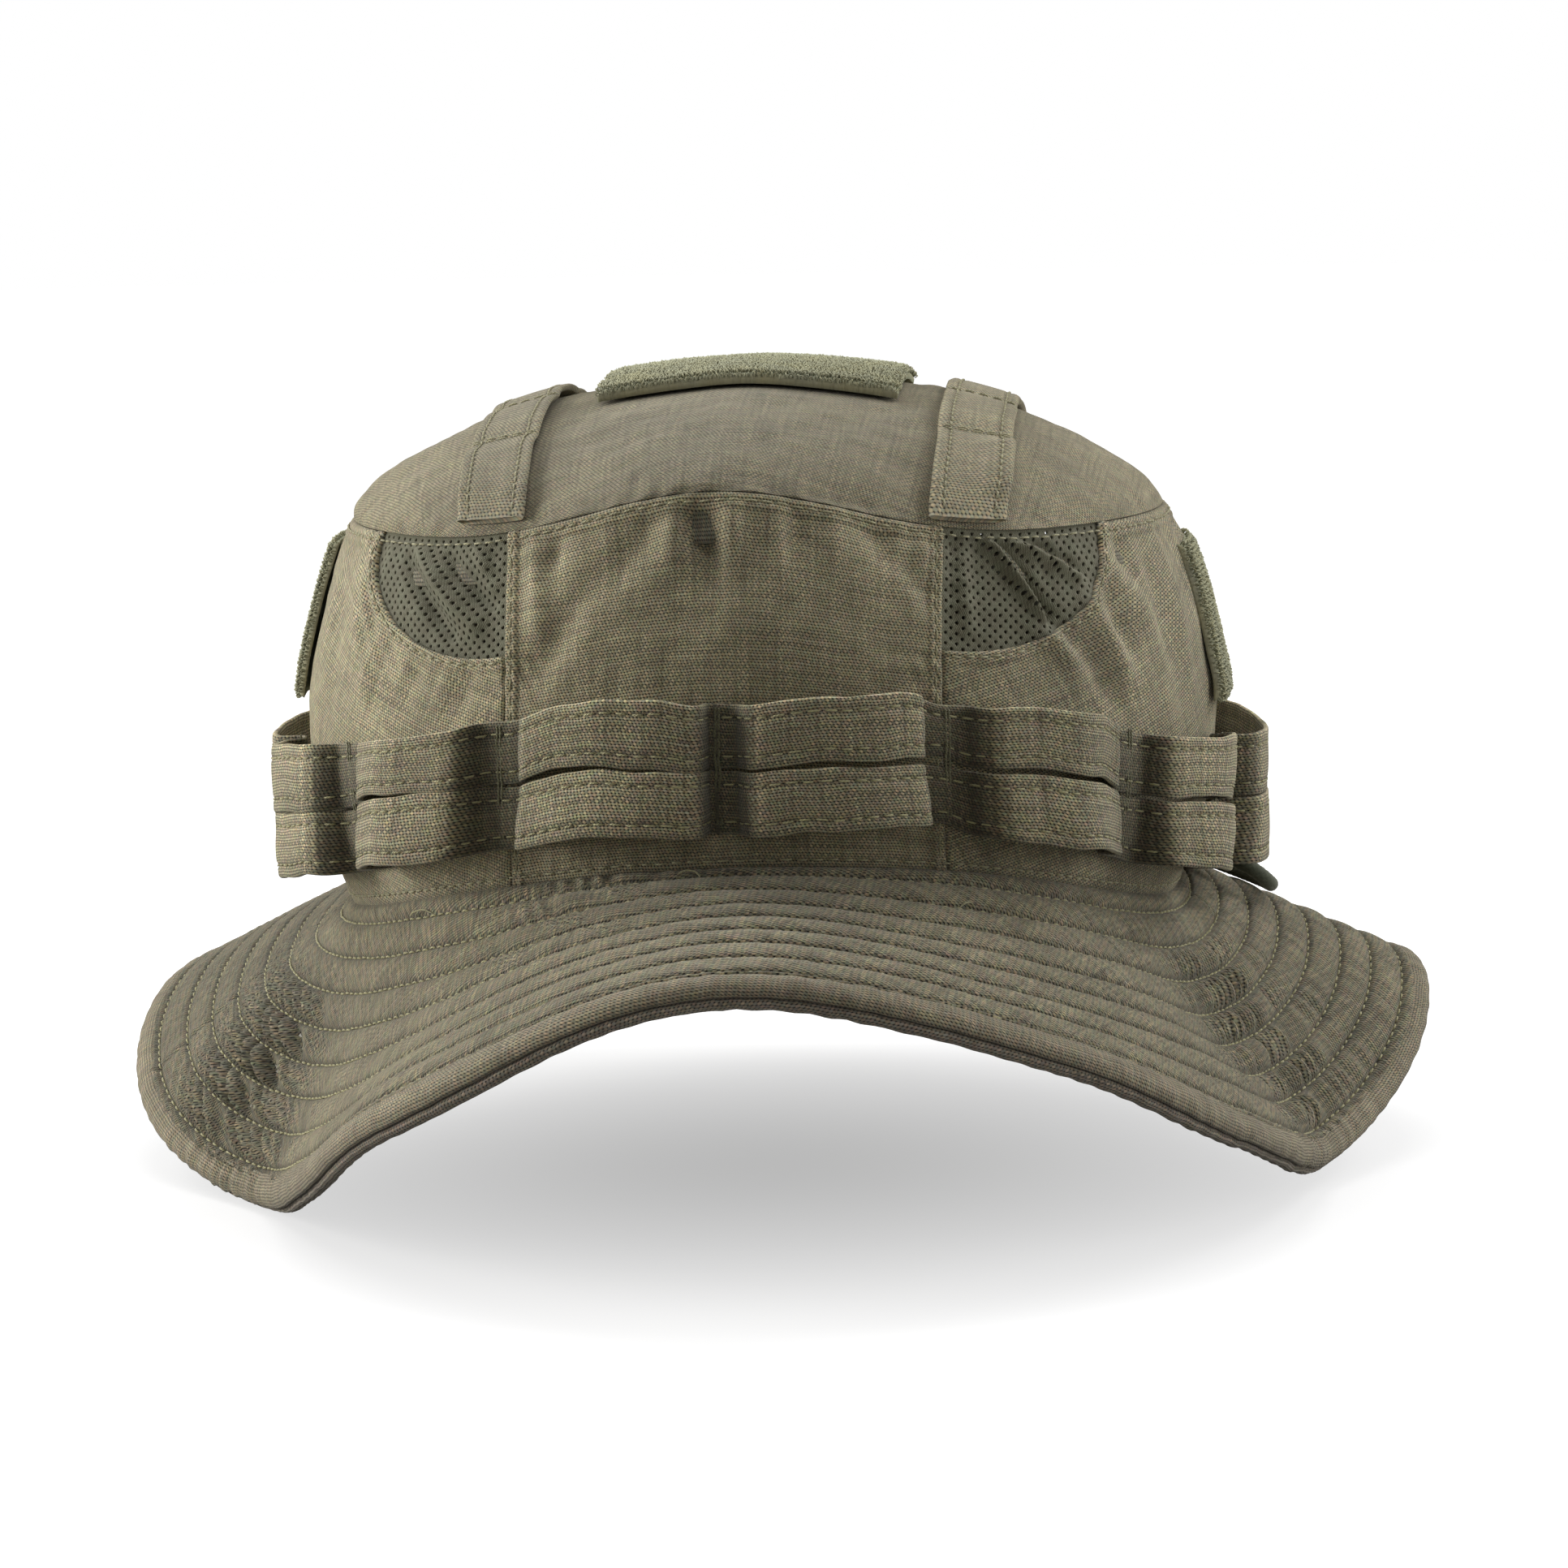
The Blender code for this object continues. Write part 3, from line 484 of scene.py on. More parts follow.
# ---------------------------------------------------------------- materials
class Mat:
    def __init__(self, name, rough=0.88, sheen=0.25, sheen_rough=0.5, tint=(1.0, 0.97, 0.86), spec=0.25):
        self.m = bpy.data.materials.new(name)
        self.m.use_nodes = True
        self.t = self.m.node_tree
        self.t.nodes.clear()
        self.b = self.t.nodes.new("ShaderNodeBsdfPrincipled")
        out = self.t.nodes.new("ShaderNodeOutputMaterial")
        self.t.links.new(self.b.outputs[0], out.inputs[0])
        self.b.inputs["Roughness"].default_value = rough
        self.b.inputs["Sheen Weight"].default_value = sheen
        self.b.inputs["Sheen Roughness"].default_value = sheen_rough
        self.b.inputs["Sheen Tint"].default_value = (*tint, 1.0)
        self.b.inputs["Specular IOR Level"].default_value = spec
        uv = self.t.nodes.new("ShaderNodeUVMap")
        uv.uv_map = "cloth"
        sep = self.t.nodes.new("ShaderNodeSeparateXYZ")
        self.t.links.new(uv.outputs[0], sep.inputs[0])
        self.x, self.y = sep.outputs[0], sep.outputs[1]

    def put(self, socket, value):
        if isinstance(value, bpy.types.NodeSocket):
            self.t.links.new(value, socket)
        else:
            socket.default_value = value

    def f(self, op, a, b=None, c=None):
        n = self.t.nodes.new("ShaderNodeMath")
        n.operation = op
        for k, v in enumerate((a, b, c)):
            if v is not None:
                self.put(n.inputs[k], v)
        return n.outputs[0]

    def add(self, a, b): return self.f("ADD", a, b)
    def mul(self, a, b): return self.f("MULTIPLY", a, b)
    def mad(self, a, b, c): return self.f("MULTIPLY_ADD", a, b, c)

    def vec(self, x, y, z=0.0):
        n = self.t.nodes.new("ShaderNodeCombineXYZ")
        for k, v in enumerate((x, y, z)):
            self.put(n.inputs[k], v)
        return n.outputs[0]

    def noise(self, vec, scale, detail=2.0, rough=0.55, colour=False):
        n = self.t.nodes.new("ShaderNodeTexNoise")
        self.put(n.inputs["Vector"], vec)
        n.inputs["Scale"].default_value = scale
        n.inputs["Detail"].default_value = detail
        n.inputs["Roughness"].default_value = rough
        return n.outputs[1] if colour else n.outputs[0]

    def object_noise(self, scale, detail=2.0):
        n = self.t.nodes.new("ShaderNodeTexCoord")
        return self.noise(n.outputs["Object"], scale, detail)

    def mix(self, fac, a, b, mode="MIX"):
        n = self.t.nodes.new("ShaderNodeMix")
        n.data_type, n.blend_type = "RGBA", mode
        n.clamp_factor = True
        self.put(n.inputs[0], fac)
        self.put(n.inputs[6], a if isinstance(a, bpy.types.NodeSocket) else (*a, 1.0))
        self.put(n.inputs[7], b if isinstance(b, bpy.types.NodeSocket) else (*b, 1.0))
        return n.outputs[2]

    def grey(self, v):
        n = self.t.nodes.new("ShaderNodeCombineColor")
        for k in range(3):
            self.put(n.inputs[k], v)
        return n.outputs[0]

    def scale(self, colour, v):
        n = self.t.nodes.new("ShaderNodeVectorMath")
        n.operation = "SCALE"
        self.put(n.inputs[0], colour)
        self.put(n.inputs["Scale"], v)
        return n.outputs[0]

    def ramp(self, v, lo, hi, to_lo=0.0, to_hi=1.0):
        n = self.t.nodes.new("ShaderNodeMapRange")
        n.clamp = True
        for k, x in enumerate((v, lo, hi, to_lo, to_hi)):
            self.put(n.inputs[k], x)
        return n.outputs[0]

    def attr(self, name):
        n = self.t.nodes.new("ShaderNodeAttribute")
        n.attribute_name = name
        return n.outputs["Fac"]

    def colour(self, v):
        self.put(self.b.inputs["Base Color"], v)

    def rough(self, v):
        self.put(self.b.inputs["Roughness"], v)

    def bump(self, height, distance, strength=1.0, under=None):
        n = self.t.nodes.new("ShaderNodeBump")
        n.inputs["Strength"].default_value = strength
        n.inputs["Distance"].default_value = distance
        self.put(n.inputs["Height"], height)
        if under is not None:
            self.put(n.inputs["Normal"], under)
        return n.outputs[0]

    def normal(self, v):
        self.put(self.b.inputs["Normal"], v)


def cloth(name, base, p=0.74, q=0.67, depth=1.0, contrast=1.25, twill=False, seed=0.0, sheen=0.22):
    """Woven cotton: warp and weft threads that pass over and under each other, slubs and flecks; the colour is darkened
    in the gaps between the threads as painted shade, so their crowns read lighter.
    """
    M = Mat(name, sheen=sheen)
    wobble = M.noise(M.vec(M.mad(M.x, 0.13, seed), M.mul(M.y, 0.13)), 1.0, 2.0)
    xw = M.mad(wobble, 1.1, M.x)
    yw = M.mad(M.noise(M.vec(M.mul(M.x, 0.11), M.mad(M.y, 0.11, 7.3 + seed)), 1.0, 2.0), 1.1, M.y)
    slant = -0.8 if twill else 0.40
    A = M.f("ABSOLUTE", M.f("SINE", M.mul(M.mad(yw, slant, xw), PI / p)))
    B = M.f("ABSOLUTE", M.f("SINE", M.mul(yw, PI / q)))
    C = M.f("SINE", M.mul(M.mad(yw, slant, xw), PI / p))
    C = M.f("MAXIMUM", M.f("MINIMUM", M.mul(M.mul(C, M.f("SINE", M.mul(yw, PI / q))), 2.4), 1.0), -1.0)
    ia, ib = M.f("SUBTRACT", 1.0, A), M.f("SUBTRACT", 1.0, B)
    hole = M.mul(M.f("POWER", ia, 1.1), M.f("POWER", ib, 0.9))
    gap = M.add(M.mul(M.mul(ib, ib), 0.26), M.mul(M.mul(ia, ia), 0.10))
    H = M.f("SUBTRACT", 1.0, M.add(M.mul(hole, 1.05), gap))
    H = M.mad(C, 0.05, H)
    nw = M.noise(M.vec(M.mul(xw, 1.0 / p), M.mad(yw, 0.035, seed)), 1.0, 2.0, 0.6)
    nf = M.noise(M.vec(M.mad(xw, 0.035, seed + 3.1), M.mul(yw, 1.0 / q)), 1.0, 2.0, 0.6)
    over = M.mad(C, 0.5, 0.5)
    T = M.add(nf, M.mul(M.f("SUBTRACT", nw, nf), over))
    warp = tuple(c * k for c, k in zip(base, (1.10, 1.00, 0.90)))
    weft = tuple(c * k for c, k in zip(base, (0.94, 1.01, 1.02)))
    col = M.mix(over, weft, warp)
    hue = M.noise(M.vec(M.mul(M.x, 0.55), M.mul(M.y, 0.75), seed), 1.0, 3.0, 0.65, colour=True)
    col = M.mix(0.16 * contrast, col, hue, "OVERLAY")
    fleck = M.ramp(M.noise(M.vec(M.mul(M.x, 0.9), M.mul(M.y, 0.12), seed + 9.0), 1.0, 2.0, 0.6), 0.62, 0.72)
    col = M.mix(M.mul(fleck, 0.35), col, (base[0] * 1.55, base[1] * 1.55, base[2] * 1.25))
    fleck2 = M.ramp(M.noise(M.vec(M.mul(M.x, 0.10), M.mul(M.y, 1.0), seed + 5.0), 1.0, 2.0, 0.6), 0.63, 0.72)
    col = M.mix(M.mul(fleck2, 0.30), col, (base[0] * 1.5, base[1] * 1.55, base[2] * 1.15))
    mottle = M.noise(M.vec(M.mad(M.x, 0.045, seed), M.mul(M.y, 0.045)), 1.0, 3.0, 0.6)
    mid = M.noise(M.vec(M.mad(M.x, 0.22, seed + 2.0), M.mul(M.y, 0.34)), 1.0, 3.0, 0.65)
    # painted shade: the colour follows the weave's height H, darkest in the holes between threads; T varies the
    # threads' own tone
    k = M.mul(M.mad(H, 1.55 * contrast, 1.0 - 1.12 * contrast), M.mad(T, 1.5 * contrast, 1.0 - 0.75 * contrast))
    k = M.mul(k, M.mul(M.mad(mottle, 0.50, 0.75), M.mad(mid, 0.80, 0.60)))
    k = M.f("MAXIMUM", k, 0.06)
    k = M.mul(k, M.attr("shade"))
    M.colour(M.scale(col, k))
    M.rough(M.mad(H, -0.10, 0.93))
    soft = M.noise(M.vec(M.mad(M.x, 0.30, seed), M.mul(M.y, 0.30)), 1.0, 3.0, 0.6)
    M.normal(M.bump(M.mad(T, 0.55, H), 0.00016 * depth, 0.9, M.bump(soft, 0.0006, 0.35)))
    return M.m


OLIVE = (0.196, 0.174, 0.113)
# the gains make lit and shaded copies of the one olive cloth: the left side panel lighter and the right one darker, the
# front a little lighter than the back, and the top darker, as painted light and shade
crown_cloth = {k: cloth("cloth_" + k, tuple(c * g for c in OLIVE), seed=s, **kw) for k, g, s, kw in (
    ("front", 1.08, 1.0, {"contrast": 1.4}), ("back", 1.0, 2.0, {}), ("side_left", 1.10, 3.0, {"contrast": 1.6}), ("side_right", 0.92, 4.0, {"contrast": 1.7}),
    ("top", 0.78, 5.0, {"p": 0.72, "q": 0.66, "contrast": 1.6}))}
band_cloth = cloth("cloth_band", tuple(c * 0.95 for c in OLIVE), p=0.74, q=0.60, seed=6.0, contrast=2.0)
strap_cloth = cloth("cloth_strap", tuple(c * 0.90 for c in OLIVE), p=0.72, q=0.70, seed=7.0)
brim_cloth = cloth("cloth_brim", tuple(c * 0.60 for c in OLIVE), p=0.72, q=0.68, seed=8.0, twill=True, contrast=2.1)
roll_cloth = cloth("cloth_edge", (0.150, 0.130, 0.090), p=0.62, q=0.62, seed=9.0, twill=True)
under_cloth = cloth("cloth_underside", (0.150, 0.128, 0.100), p=0.66, q=0.66, seed=10.0)
sweat_cloth = cloth("cloth_sweatband", (0.135, 0.125, 0.085), p=0.55, q=0.9, seed=11.0)
tape_cloth = cloth("cloth_tape", (0.130, 0.120, 0.086), p=0.5, q=0.9, seed=12.0)


def knit(name, base):
    M = Mat(name, rough=0.8, sheen=0.2)
    a = M.f("ABSOLUTE", M.f("SINE", M.mul(M.mad(M.y, 0.5, M.x), PI / 0.42)))
    b = M.f("ABSOLUTE", M.f("SINE", M.mul(M.mad(M.y, -0.5, M.x), PI / 0.42)))
    H = M.mul(M.add(a, b), 0.5)
    n = M.noise(M.vec(M.mul(M.x, 0.35), M.mul(M.y, 0.35)), 1.0, 3.0, 0.6)
    col = M.mix(M.ramp(n, 0.35, 0.7), base, (base[0] * 0.92, base[1] * 1.02, base[2] * 1.02))
    # painted shade: the colour darkens in the hollows of the knit
    k = M.mul(M.mad(H, 0.45, 0.70), M.mad(n, 0.6, 0.7))
    M.colour(M.scale(col, M.mul(k, M.attr("shade"))))
    M.rough(M.mad(H, -0.15, 0.85))
    M.normal(M.bump(H, 0.00015, 0.9))
    return M.m


mesh_knit = knit("knit_vent", (0.132, 0.122, 0.076))


def thread(name, base, rough=0.6):
    M = Mat(name, rough=rough, sheen=0.35, spec=0.4)
    ply = M.f("SINE", M.mul(M.mad(M.x, 0.7, M.y), PI / 0.22))
    n = M.noise(M.vec(M.mul(M.x, 0.6), M.mul(M.y, 0.6)), 1.0, 2.0)
    # painted shade: the colour darkens in the grooves between the thread's plies
    k = M.mul(M.mad(M.f("ABSOLUTE", ply), 0.35, 0.72), M.mad(n, 0.5, 0.75))
    M.colour(M.scale(M.mix(n, base, (base[0] * 0.95, base[1] * 1.0, base[2] * 0.8)), M.mul(k, M.attr("shade"))))
    M.rough(M.mad(n, 0.2, rough - 0.1))
    M.normal(M.bump(ply, 0.00006, 0.8))
    return M.m


thread_mat = thread("thread_tan", (0.390, 0.350, 0.195))
thread_dark = thread("thread_tack", (0.150, 0.140, 0.078))
thread_pale = thread("thread_pale", (0.360, 0.325, 0.200))


def pile(name, base):
    M = Mat(name, rough=0.95, sheen=0.5, sheen_rough=0.6, tint=(0.9, 1.0, 0.75))
    n = M.noise(M.vec(M.mul(M.x, 1.4), M.mul(M.y, 1.4)), 1.0, 4.0, 0.7)
    m = M.noise(M.vec(M.mul(M.x, 0.12), M.mul(M.y, 0.12)), 1.0, 3.0, 0.6)
    col = M.mix(M.ramp(m, 0.35, 0.7), base, (base[0] * 1.2, base[1] * 1.15, base[2] * 0.95))
    M.colour(M.scale(col, M.mul(M.mad(n, 1.0, 0.5), M.attr("shade"))))
    M.rough(M.mad(n, 0.1, 0.88))
    M.normal(M.bump(n, 0.0003, 0.9))
    return M.m


pile_mat = pile("pile_loop", (0.262, 0.246, 0.168))


def braid(name, base):
    M = Mat(name, rough=0.75, sheen=0.3, spec=0.3)
    fib = M.noise(M.vec(M.mul(M.x, 3.0), M.mul(M.y, 3.0)), 1.0, 3.0, 0.6)
    k = M.mul(M.mad(fib, 0.7, 0.65), M.attr("shade"))
    tint = M.noise(M.vec(M.mul(M.x, 0.15), M.mul(M.y, 0.15)), 1.0, 2.0)
    M.colour(M.scale(M.mix(tint, base, (base[0] * 1.3, base[1] * 1.25, base[2] * 1.1)), k))
    M.rough(M.mad(fib, 0.2, 0.68))
    M.normal(M.bump(fib, 0.0001, 0.7))
    return M.m


cord_mat = braid("braid_green", (0.052, 0.060, 0.038))


def plastic(name, base):
    M = Mat(name, rough=0.42, sheen=0.0, spec=0.5)
    g = M.t.nodes.new("ShaderNodeTexCoord").outputs["Object"]
    grain, dust = M.noise(g, 4200.0, 3.0), M.noise(g, 260.0, 4.0, 0.65)
    M.colour(M.mix(M.ramp(dust, 0.5, 0.75), base, (base[0] * 2.0, base[1] * 2.0, base[2] * 1.9)))
    M.rough(M.add(M.mad(grain, 0.12, 0.30), M.mul(dust, 0.16)))
    M.normal(M.bump(grain, 0.00004, 0.5))
    return M.m


def steel(name):
    M = Mat(name, rough=0.28, sheen=0.0, spec=0.5)
    M.b.inputs["Metallic"].default_value = 1.0
    g = M.t.nodes.new("ShaderNodeTexCoord").outputs["Object"]
    n = M.noise(g, 1500.0, 3.0)
    M.colour(M.mix(n, (0.42, 0.42, 0.43), (0.62, 0.62, 0.62)))
    M.rough(M.mad(n, 0.2, 0.2))
    M.normal(M.bump(n, 0.00002, 0.5))
    return M.m


# ---------------------------------------------------------------- thread stitches
def stitches(name, lines, mat, pitch=3.0, length=2.15, dia=0.46, sink=0.30, seed=0, body="hat", high=0.06):
    """Every stitch is a piece of thread that dips into the cloth at both ends. lines: (points, normals)."""
    V, F, U, S = [], [], [], []
    base = 0
    for li, (pts, nrm) in enumerate(lines):
        run = np.concatenate([[0.0], np.cumsum(np.linalg.norm(np.diff(pts, axis=0), axis=1))])
        n = int((run[-1] - 0.4) / pitch)
        if n < 1:
            continue
        k = np.arange(n)
        jit = n1(k * 7.3 + li * 31.7, 1.0, seed)
        start = (k + 0.25) * pitch * (run[-1] / (n * pitch)) * 0.999 + 0.18 * jit
        ln = length * (1 + 0.14 * n1(k * 5.1 + li * 13.3, 1.0, seed + 1))
        st = np.array([0.0, 0.14, 0.5, 0.86, 1.0])
        at = np.clip(start[:, None] + ln[:, None] * st[None], 0, run[-1])
        P = np.stack([np.interp(at, run, pts[:, c]) for c in range(3)], -1)
        N = unit(np.stack([np.interp(at, run, nrm[:, c]) for c in range(3)], -1))
        T = unit(P[:, -1:] - P[:, :1])
        B = unit(np.cross(N, T))
        side = 0.16 * n1(k * 3.7 + li * 17.0, 1.0, seed + 2)[:, None, None]
        lift = np.array([-sink, high * 0.4, high + 0.05, high * 0.4, -sink])[None, :, None]
        wide = np.array([0.45, 0.95, 1.0, 0.95, 0.45])[None, :, None] * dia / 2
        P = P + N * lift + B * side * np.array([0.4, 1, 1, 1, 0.4])[None, :, None]
        ring = []
        for a in np.arange(6) * PI / 3:
            ring.append(P + B * math.cos(a) * wide * 1.1 + N * math.sin(a) * wide * 0.8)
        ring = np.stack(ring, 2)                       # stitch, station, around, xyz
        K = len(ring)
        V.append(ring.reshape(-1, 3))
        idx = base + np.arange(K)[:, None, None] * 30
        i, j = np.meshgrid(np.arange(4), np.arange(6), indexing="ij")
        q = np.stack([i * 6 + j, (i + 1) * 6 + j, (i + 1) * 6 + (j + 1) % 6, i * 6 + (j + 1) % 6], -1).reshape(-1, 4)
        caps = np.array([[0, 1, 2, 3], [0, 3, 4, 5], [27, 26, 25, 24], [29, 28, 27, 24]])
        q = np.concatenate([q, caps])
        F.append((idx + q[None]).reshape(-1, 4))
        uu = np.stack([np.broadcast_to((at[:, :, None] - at[:, :1, None]), ring.shape[:3]) + 5.1 * k[:, None, None],
                       np.broadcast_to(np.arange(6)[None, None] * dia * 0.5, ring.shape[:3])], -1)
        U.append(uu.reshape(-1, 2))
        sh = 1.0 + 0.22 * n1(k * 9.7 + li * 7.0, 1.0, seed + 3)
        S.append(np.broadcast_to(sh[:, None, None], ring.shape[:3]).ravel())
        base += K * 30
    return build(name, np.concatenate(V), [np.concatenate(F)], mat, np.concatenate(U),
                 {"shade": np.concatenate(S)}, body)


def on(surface, u, t, off):
    """A line on a surface, as stitches() takes it."""
    u, t = np.broadcast_arrays(np.asarray(u, float), np.asarray(t, float))
    return surface(u, t, off), surface.normal(u, t)


# ---------------------------------------------------------------- crown panels
LAP = 0.36


def panel_off(u, v, which):
    """Height of the outer face over the wall: lapped seams, turned hems and the grooves of the stitching."""
    tip, foot, seam = (1 - v) * WALL, v * WALL, seam_distance(u)
    o = LAP * (1 - smooth(2.8, 3.6, tip)) - 0.55 * (1 - smooth(0.0, 0.9, tip))
    o = o - 0.30 * np.exp(-((tip - 1.75) / 0.45) ** 2)
    o = o + 0.22 * (1 - smooth(2.6, 3.4, foot)) - 0.26 * np.exp(-((foot - 1.7) / 0.45) ** 2)
    if which == "panel":
        o = o + (LAP + 0.08) * (1 - smooth(2.5, 3.2, seam)) - 0.45 * (1 - smooth(0.0, 0.55, seam))
        o = o - 0.26 * np.exp(-((seam - 1.45) / 0.42) ** 2)
    else:
        o = o - 0.25 * (1 - smooth(0.0, 1.2, seam))
        vd = vent_distance(u, v)
        o = o + (LAP + 0.06) * (1 - smooth(2.3, 3.1, vd)) - 0.45 * (1 - smooth(0.0, 0.6, vd))
        o = o - 0.26 * np.exp(-((vd - 1.35) / 0.42) ** 2) * (vd > -0.5)
    return o


def wall_shade(u, v):
    """Painted shade and wear over a slow random tone: the seams and the foot are darkened as painted shade and dirt in
    their grooves, and the raised edges beside the seams are rubbed pale; the wall is darkened toward its foot under the
    band, and in the valleys of its folds and lightened on their ridges, as painted shade.
    """
    tip, foot, seam = (1 - v) * WALL, v * WALL, seam_distance(u)
    P = wall_raw(u, v)
    s = 1.0 + 0.06 * fbm(P, 22, 301) - 0.20 * np.exp(-(tip / 0.7) ** 2) - 0.16 * np.exp(-((tip - 3.5) / 0.5) ** 2) * 0.5
    s = s - 0.28 * np.exp(-(foot / 1.0) ** 2) - 0.22 * np.exp(-(seam / 0.5) ** 2)
    s = s + 0.10 * np.exp(-((tip - 1.0) / 0.6) ** 2) + 0.10 * np.exp(-((seam - 0.9) / 0.5) ** 2)
    s = s - 0.10 * (1 - smooth(0.05, 0.50, v)) + 0.30 * creases(u, v, FOLDS) * 0.16
    return s


def crown_panel(name, u0, u1, mat):
    us = spaced(u0, u1, 0.9 / DEG_MM, 4.0 / DEG_MM, 0.36 / DEG_MM)
    vs = spaced(-0.004, 1.0, 0.95 / WALL, 4.2 / WALL, 0.38 / WALL)
    u, v = np.meshgrid(us, vs, indexing="ij")
    P = wall(u, v, panel_off(u, v, "panel"))
    Q = wall(u, v, np.minimum(panel_off(u, v, "panel") - 0.6, -0.9))
    uv = np.stack([u * DEG_MM, v * 84.0], -1)
    ob = solid(name, P, Q, uv, mat, attrs={"shade": wall_shade(u, v)})
    return ob


front = crown_panel("crown_front_cloth", -120.0, -60.0, crown_cloth["front"])
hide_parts("crown_front_panel")
back = crown_panel("crown_back_cloth", 60.0, 120.0, crown_cloth["back"])
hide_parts("crown_back_panel")


def side_panel(name, centre, mat, angle):
    """Side panel from seam to seam, cut out round its two vents."""
    th = np.linspace(0, PI / 2, 52)
    t = np.sin(th) ** (2 / 1.95)
    top = 1.0 - VENT_DROP * np.cos(th) ** (2 / 1.95)
    du = -60.0 + VENT_SPAN * t
    flat = np.linspace(-60.0 + VENT_SPAN, 60.0 - VENT_SPAN, 106)[1:-1]
    du = np.concatenate([du, flat, -du[::-1]])
    top = np.concatenate([top, np.ones(len(flat)), top[::-1]])
    f = spaced(0.0, 1.0, 0.0125, 0.055, 0.005)
    v = -0.004 + (top[:, None] + 0.004) * f[None]
    u = centre + du[:, None] + 0 * v
    o = panel_off(u, v, "side")
    P = wall(u, v, o)
    Q = wall(u, v, np.minimum(o - 0.55, -0.9))
    uv = turn(np.stack([(u - centre) * DEG_MM, v * 84.0], -1), angle)
    return solid(name, P, Q, uv, mat, attrs={"shade": wall_shade(u, v)})


right = side_panel("crown_side_cloth_right", 0.0, crown_cloth["side_right"], -24.0)
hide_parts("crown_side_panel_right")
left = side_panel("crown_side_cloth_left", 180.0, crown_cloth["side_left"], 24.0)
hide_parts("crown_side_panel_left")

# ---------------------------------------------------------------- top panel
us = np.arange(-180.0, 180.0, 0.72)
ws = np.concatenate([np.linspace(0.03, 0.955, 92), 1 - np.linspace(0.040, 0.0, 12)])
u, w = np.meshgrid(us, ws, indexing="ij")
edge = (1 - w) * 100.0
o = -0.55 * (1 - smooth(0.0, 1.2, edge))
P, Q = dome(u, w, o), dome(u, w, np.minimum(o - 0.6, -0.9))
raw = dome_raw(u, w)
# mottle holds a slow random tone and painted shade: the top is darker down its middle and lighter toward its sides,
# where the light falls, and darker in the groove at its seam
mottle = 1.0 + 0.07 * fbm(raw, 26, 311) - 0.17 * np.exp(-(raw[..., 0] / 46.0) ** 2) + 0.14 * smooth(48, 72, np.abs(raw[..., 0])) - 0.22 * np.exp(-(edge / 0.9) ** 2)
nu, nv = u.shape
n = nu * nv
polar = np.stack([u * 0, u * 0], -1)
plan = raw[..., :2] * (1 + 0.10 * w[..., None] ** 3)
ctr = np.array([[0, 0, CROWN_Z - 0.35], [0, 0, CROWN_Z - 0.9]])
V = np.concatenate([P.reshape(-1, 3), Q.reshape(-1, 3), ctr])
i = np.arange(nu)
i1 = (i + 1) % nu
rim = np.stack([i * nv + nv - 1, i1 * nv + nv - 1, i1 * nv + nv - 1 + n, i * nv + nv - 1 + n], -1)
fan_top = np.stack([np.full(nu, 2 * n), i * nv, i1 * nv], -1)
fan_low = np.stack([np.full(nu, 2 * n + 1), i1 * nv + n, i * nv + n], -1)
top = build("crown_top_cloth", V, [quads(nu, nv, True, False, 0, True), quads(nu, nv, True, False, n, False),
                                   rim[:, ::-1], fan_top, fan_low], crown_cloth["top"],
            np.concatenate([plan.reshape(-1, 2)] * 2 + [np.zeros((2, 2))]),
            {"shade": np.concatenate([mottle.ravel()] * 2 + [[1.0, 1.0]])})
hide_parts("crown_top_panel")

# ---------------------------------------------------------------- mesh vents
VENT_FOLDS = {
    "front_left": [(-136.5, .965, -125.5, .75, 2.3, 1.5), (-131, .95, -123, .80, 1.7, -0.9),
                   (-139.5, .93, -130, .74, 2.2, -1.1), (-126, .98, -122.5, .86, 1.8, .7)],
    "front_right": [(-53.5, .985, -44.8, .755, 1.25, 1.6), (-52.0, .985, -43.0, .76, 1.6, -1.2),
                    (-49, .975, -38.5, .87, 1.2, 1.1), (-47.5, .985, -37, .885, 1.3, -0.8), (-57, .9, -56, .72, 2.2, .5)],
    "back_right": [(53.5, .98, 44.0, .76, 1.6, 1.2), (51, .98, 41.5, .78, 1.8, -1.0), (48, .97, 38, .88, 1.5, .8)],
    "back_left": [(130, .96, 124, .75, 2.2, 1.2), (137, .95, 129, .76, 2.2, -1.0), (126, .95, 122.5, .84, 1.7, .6)],
}


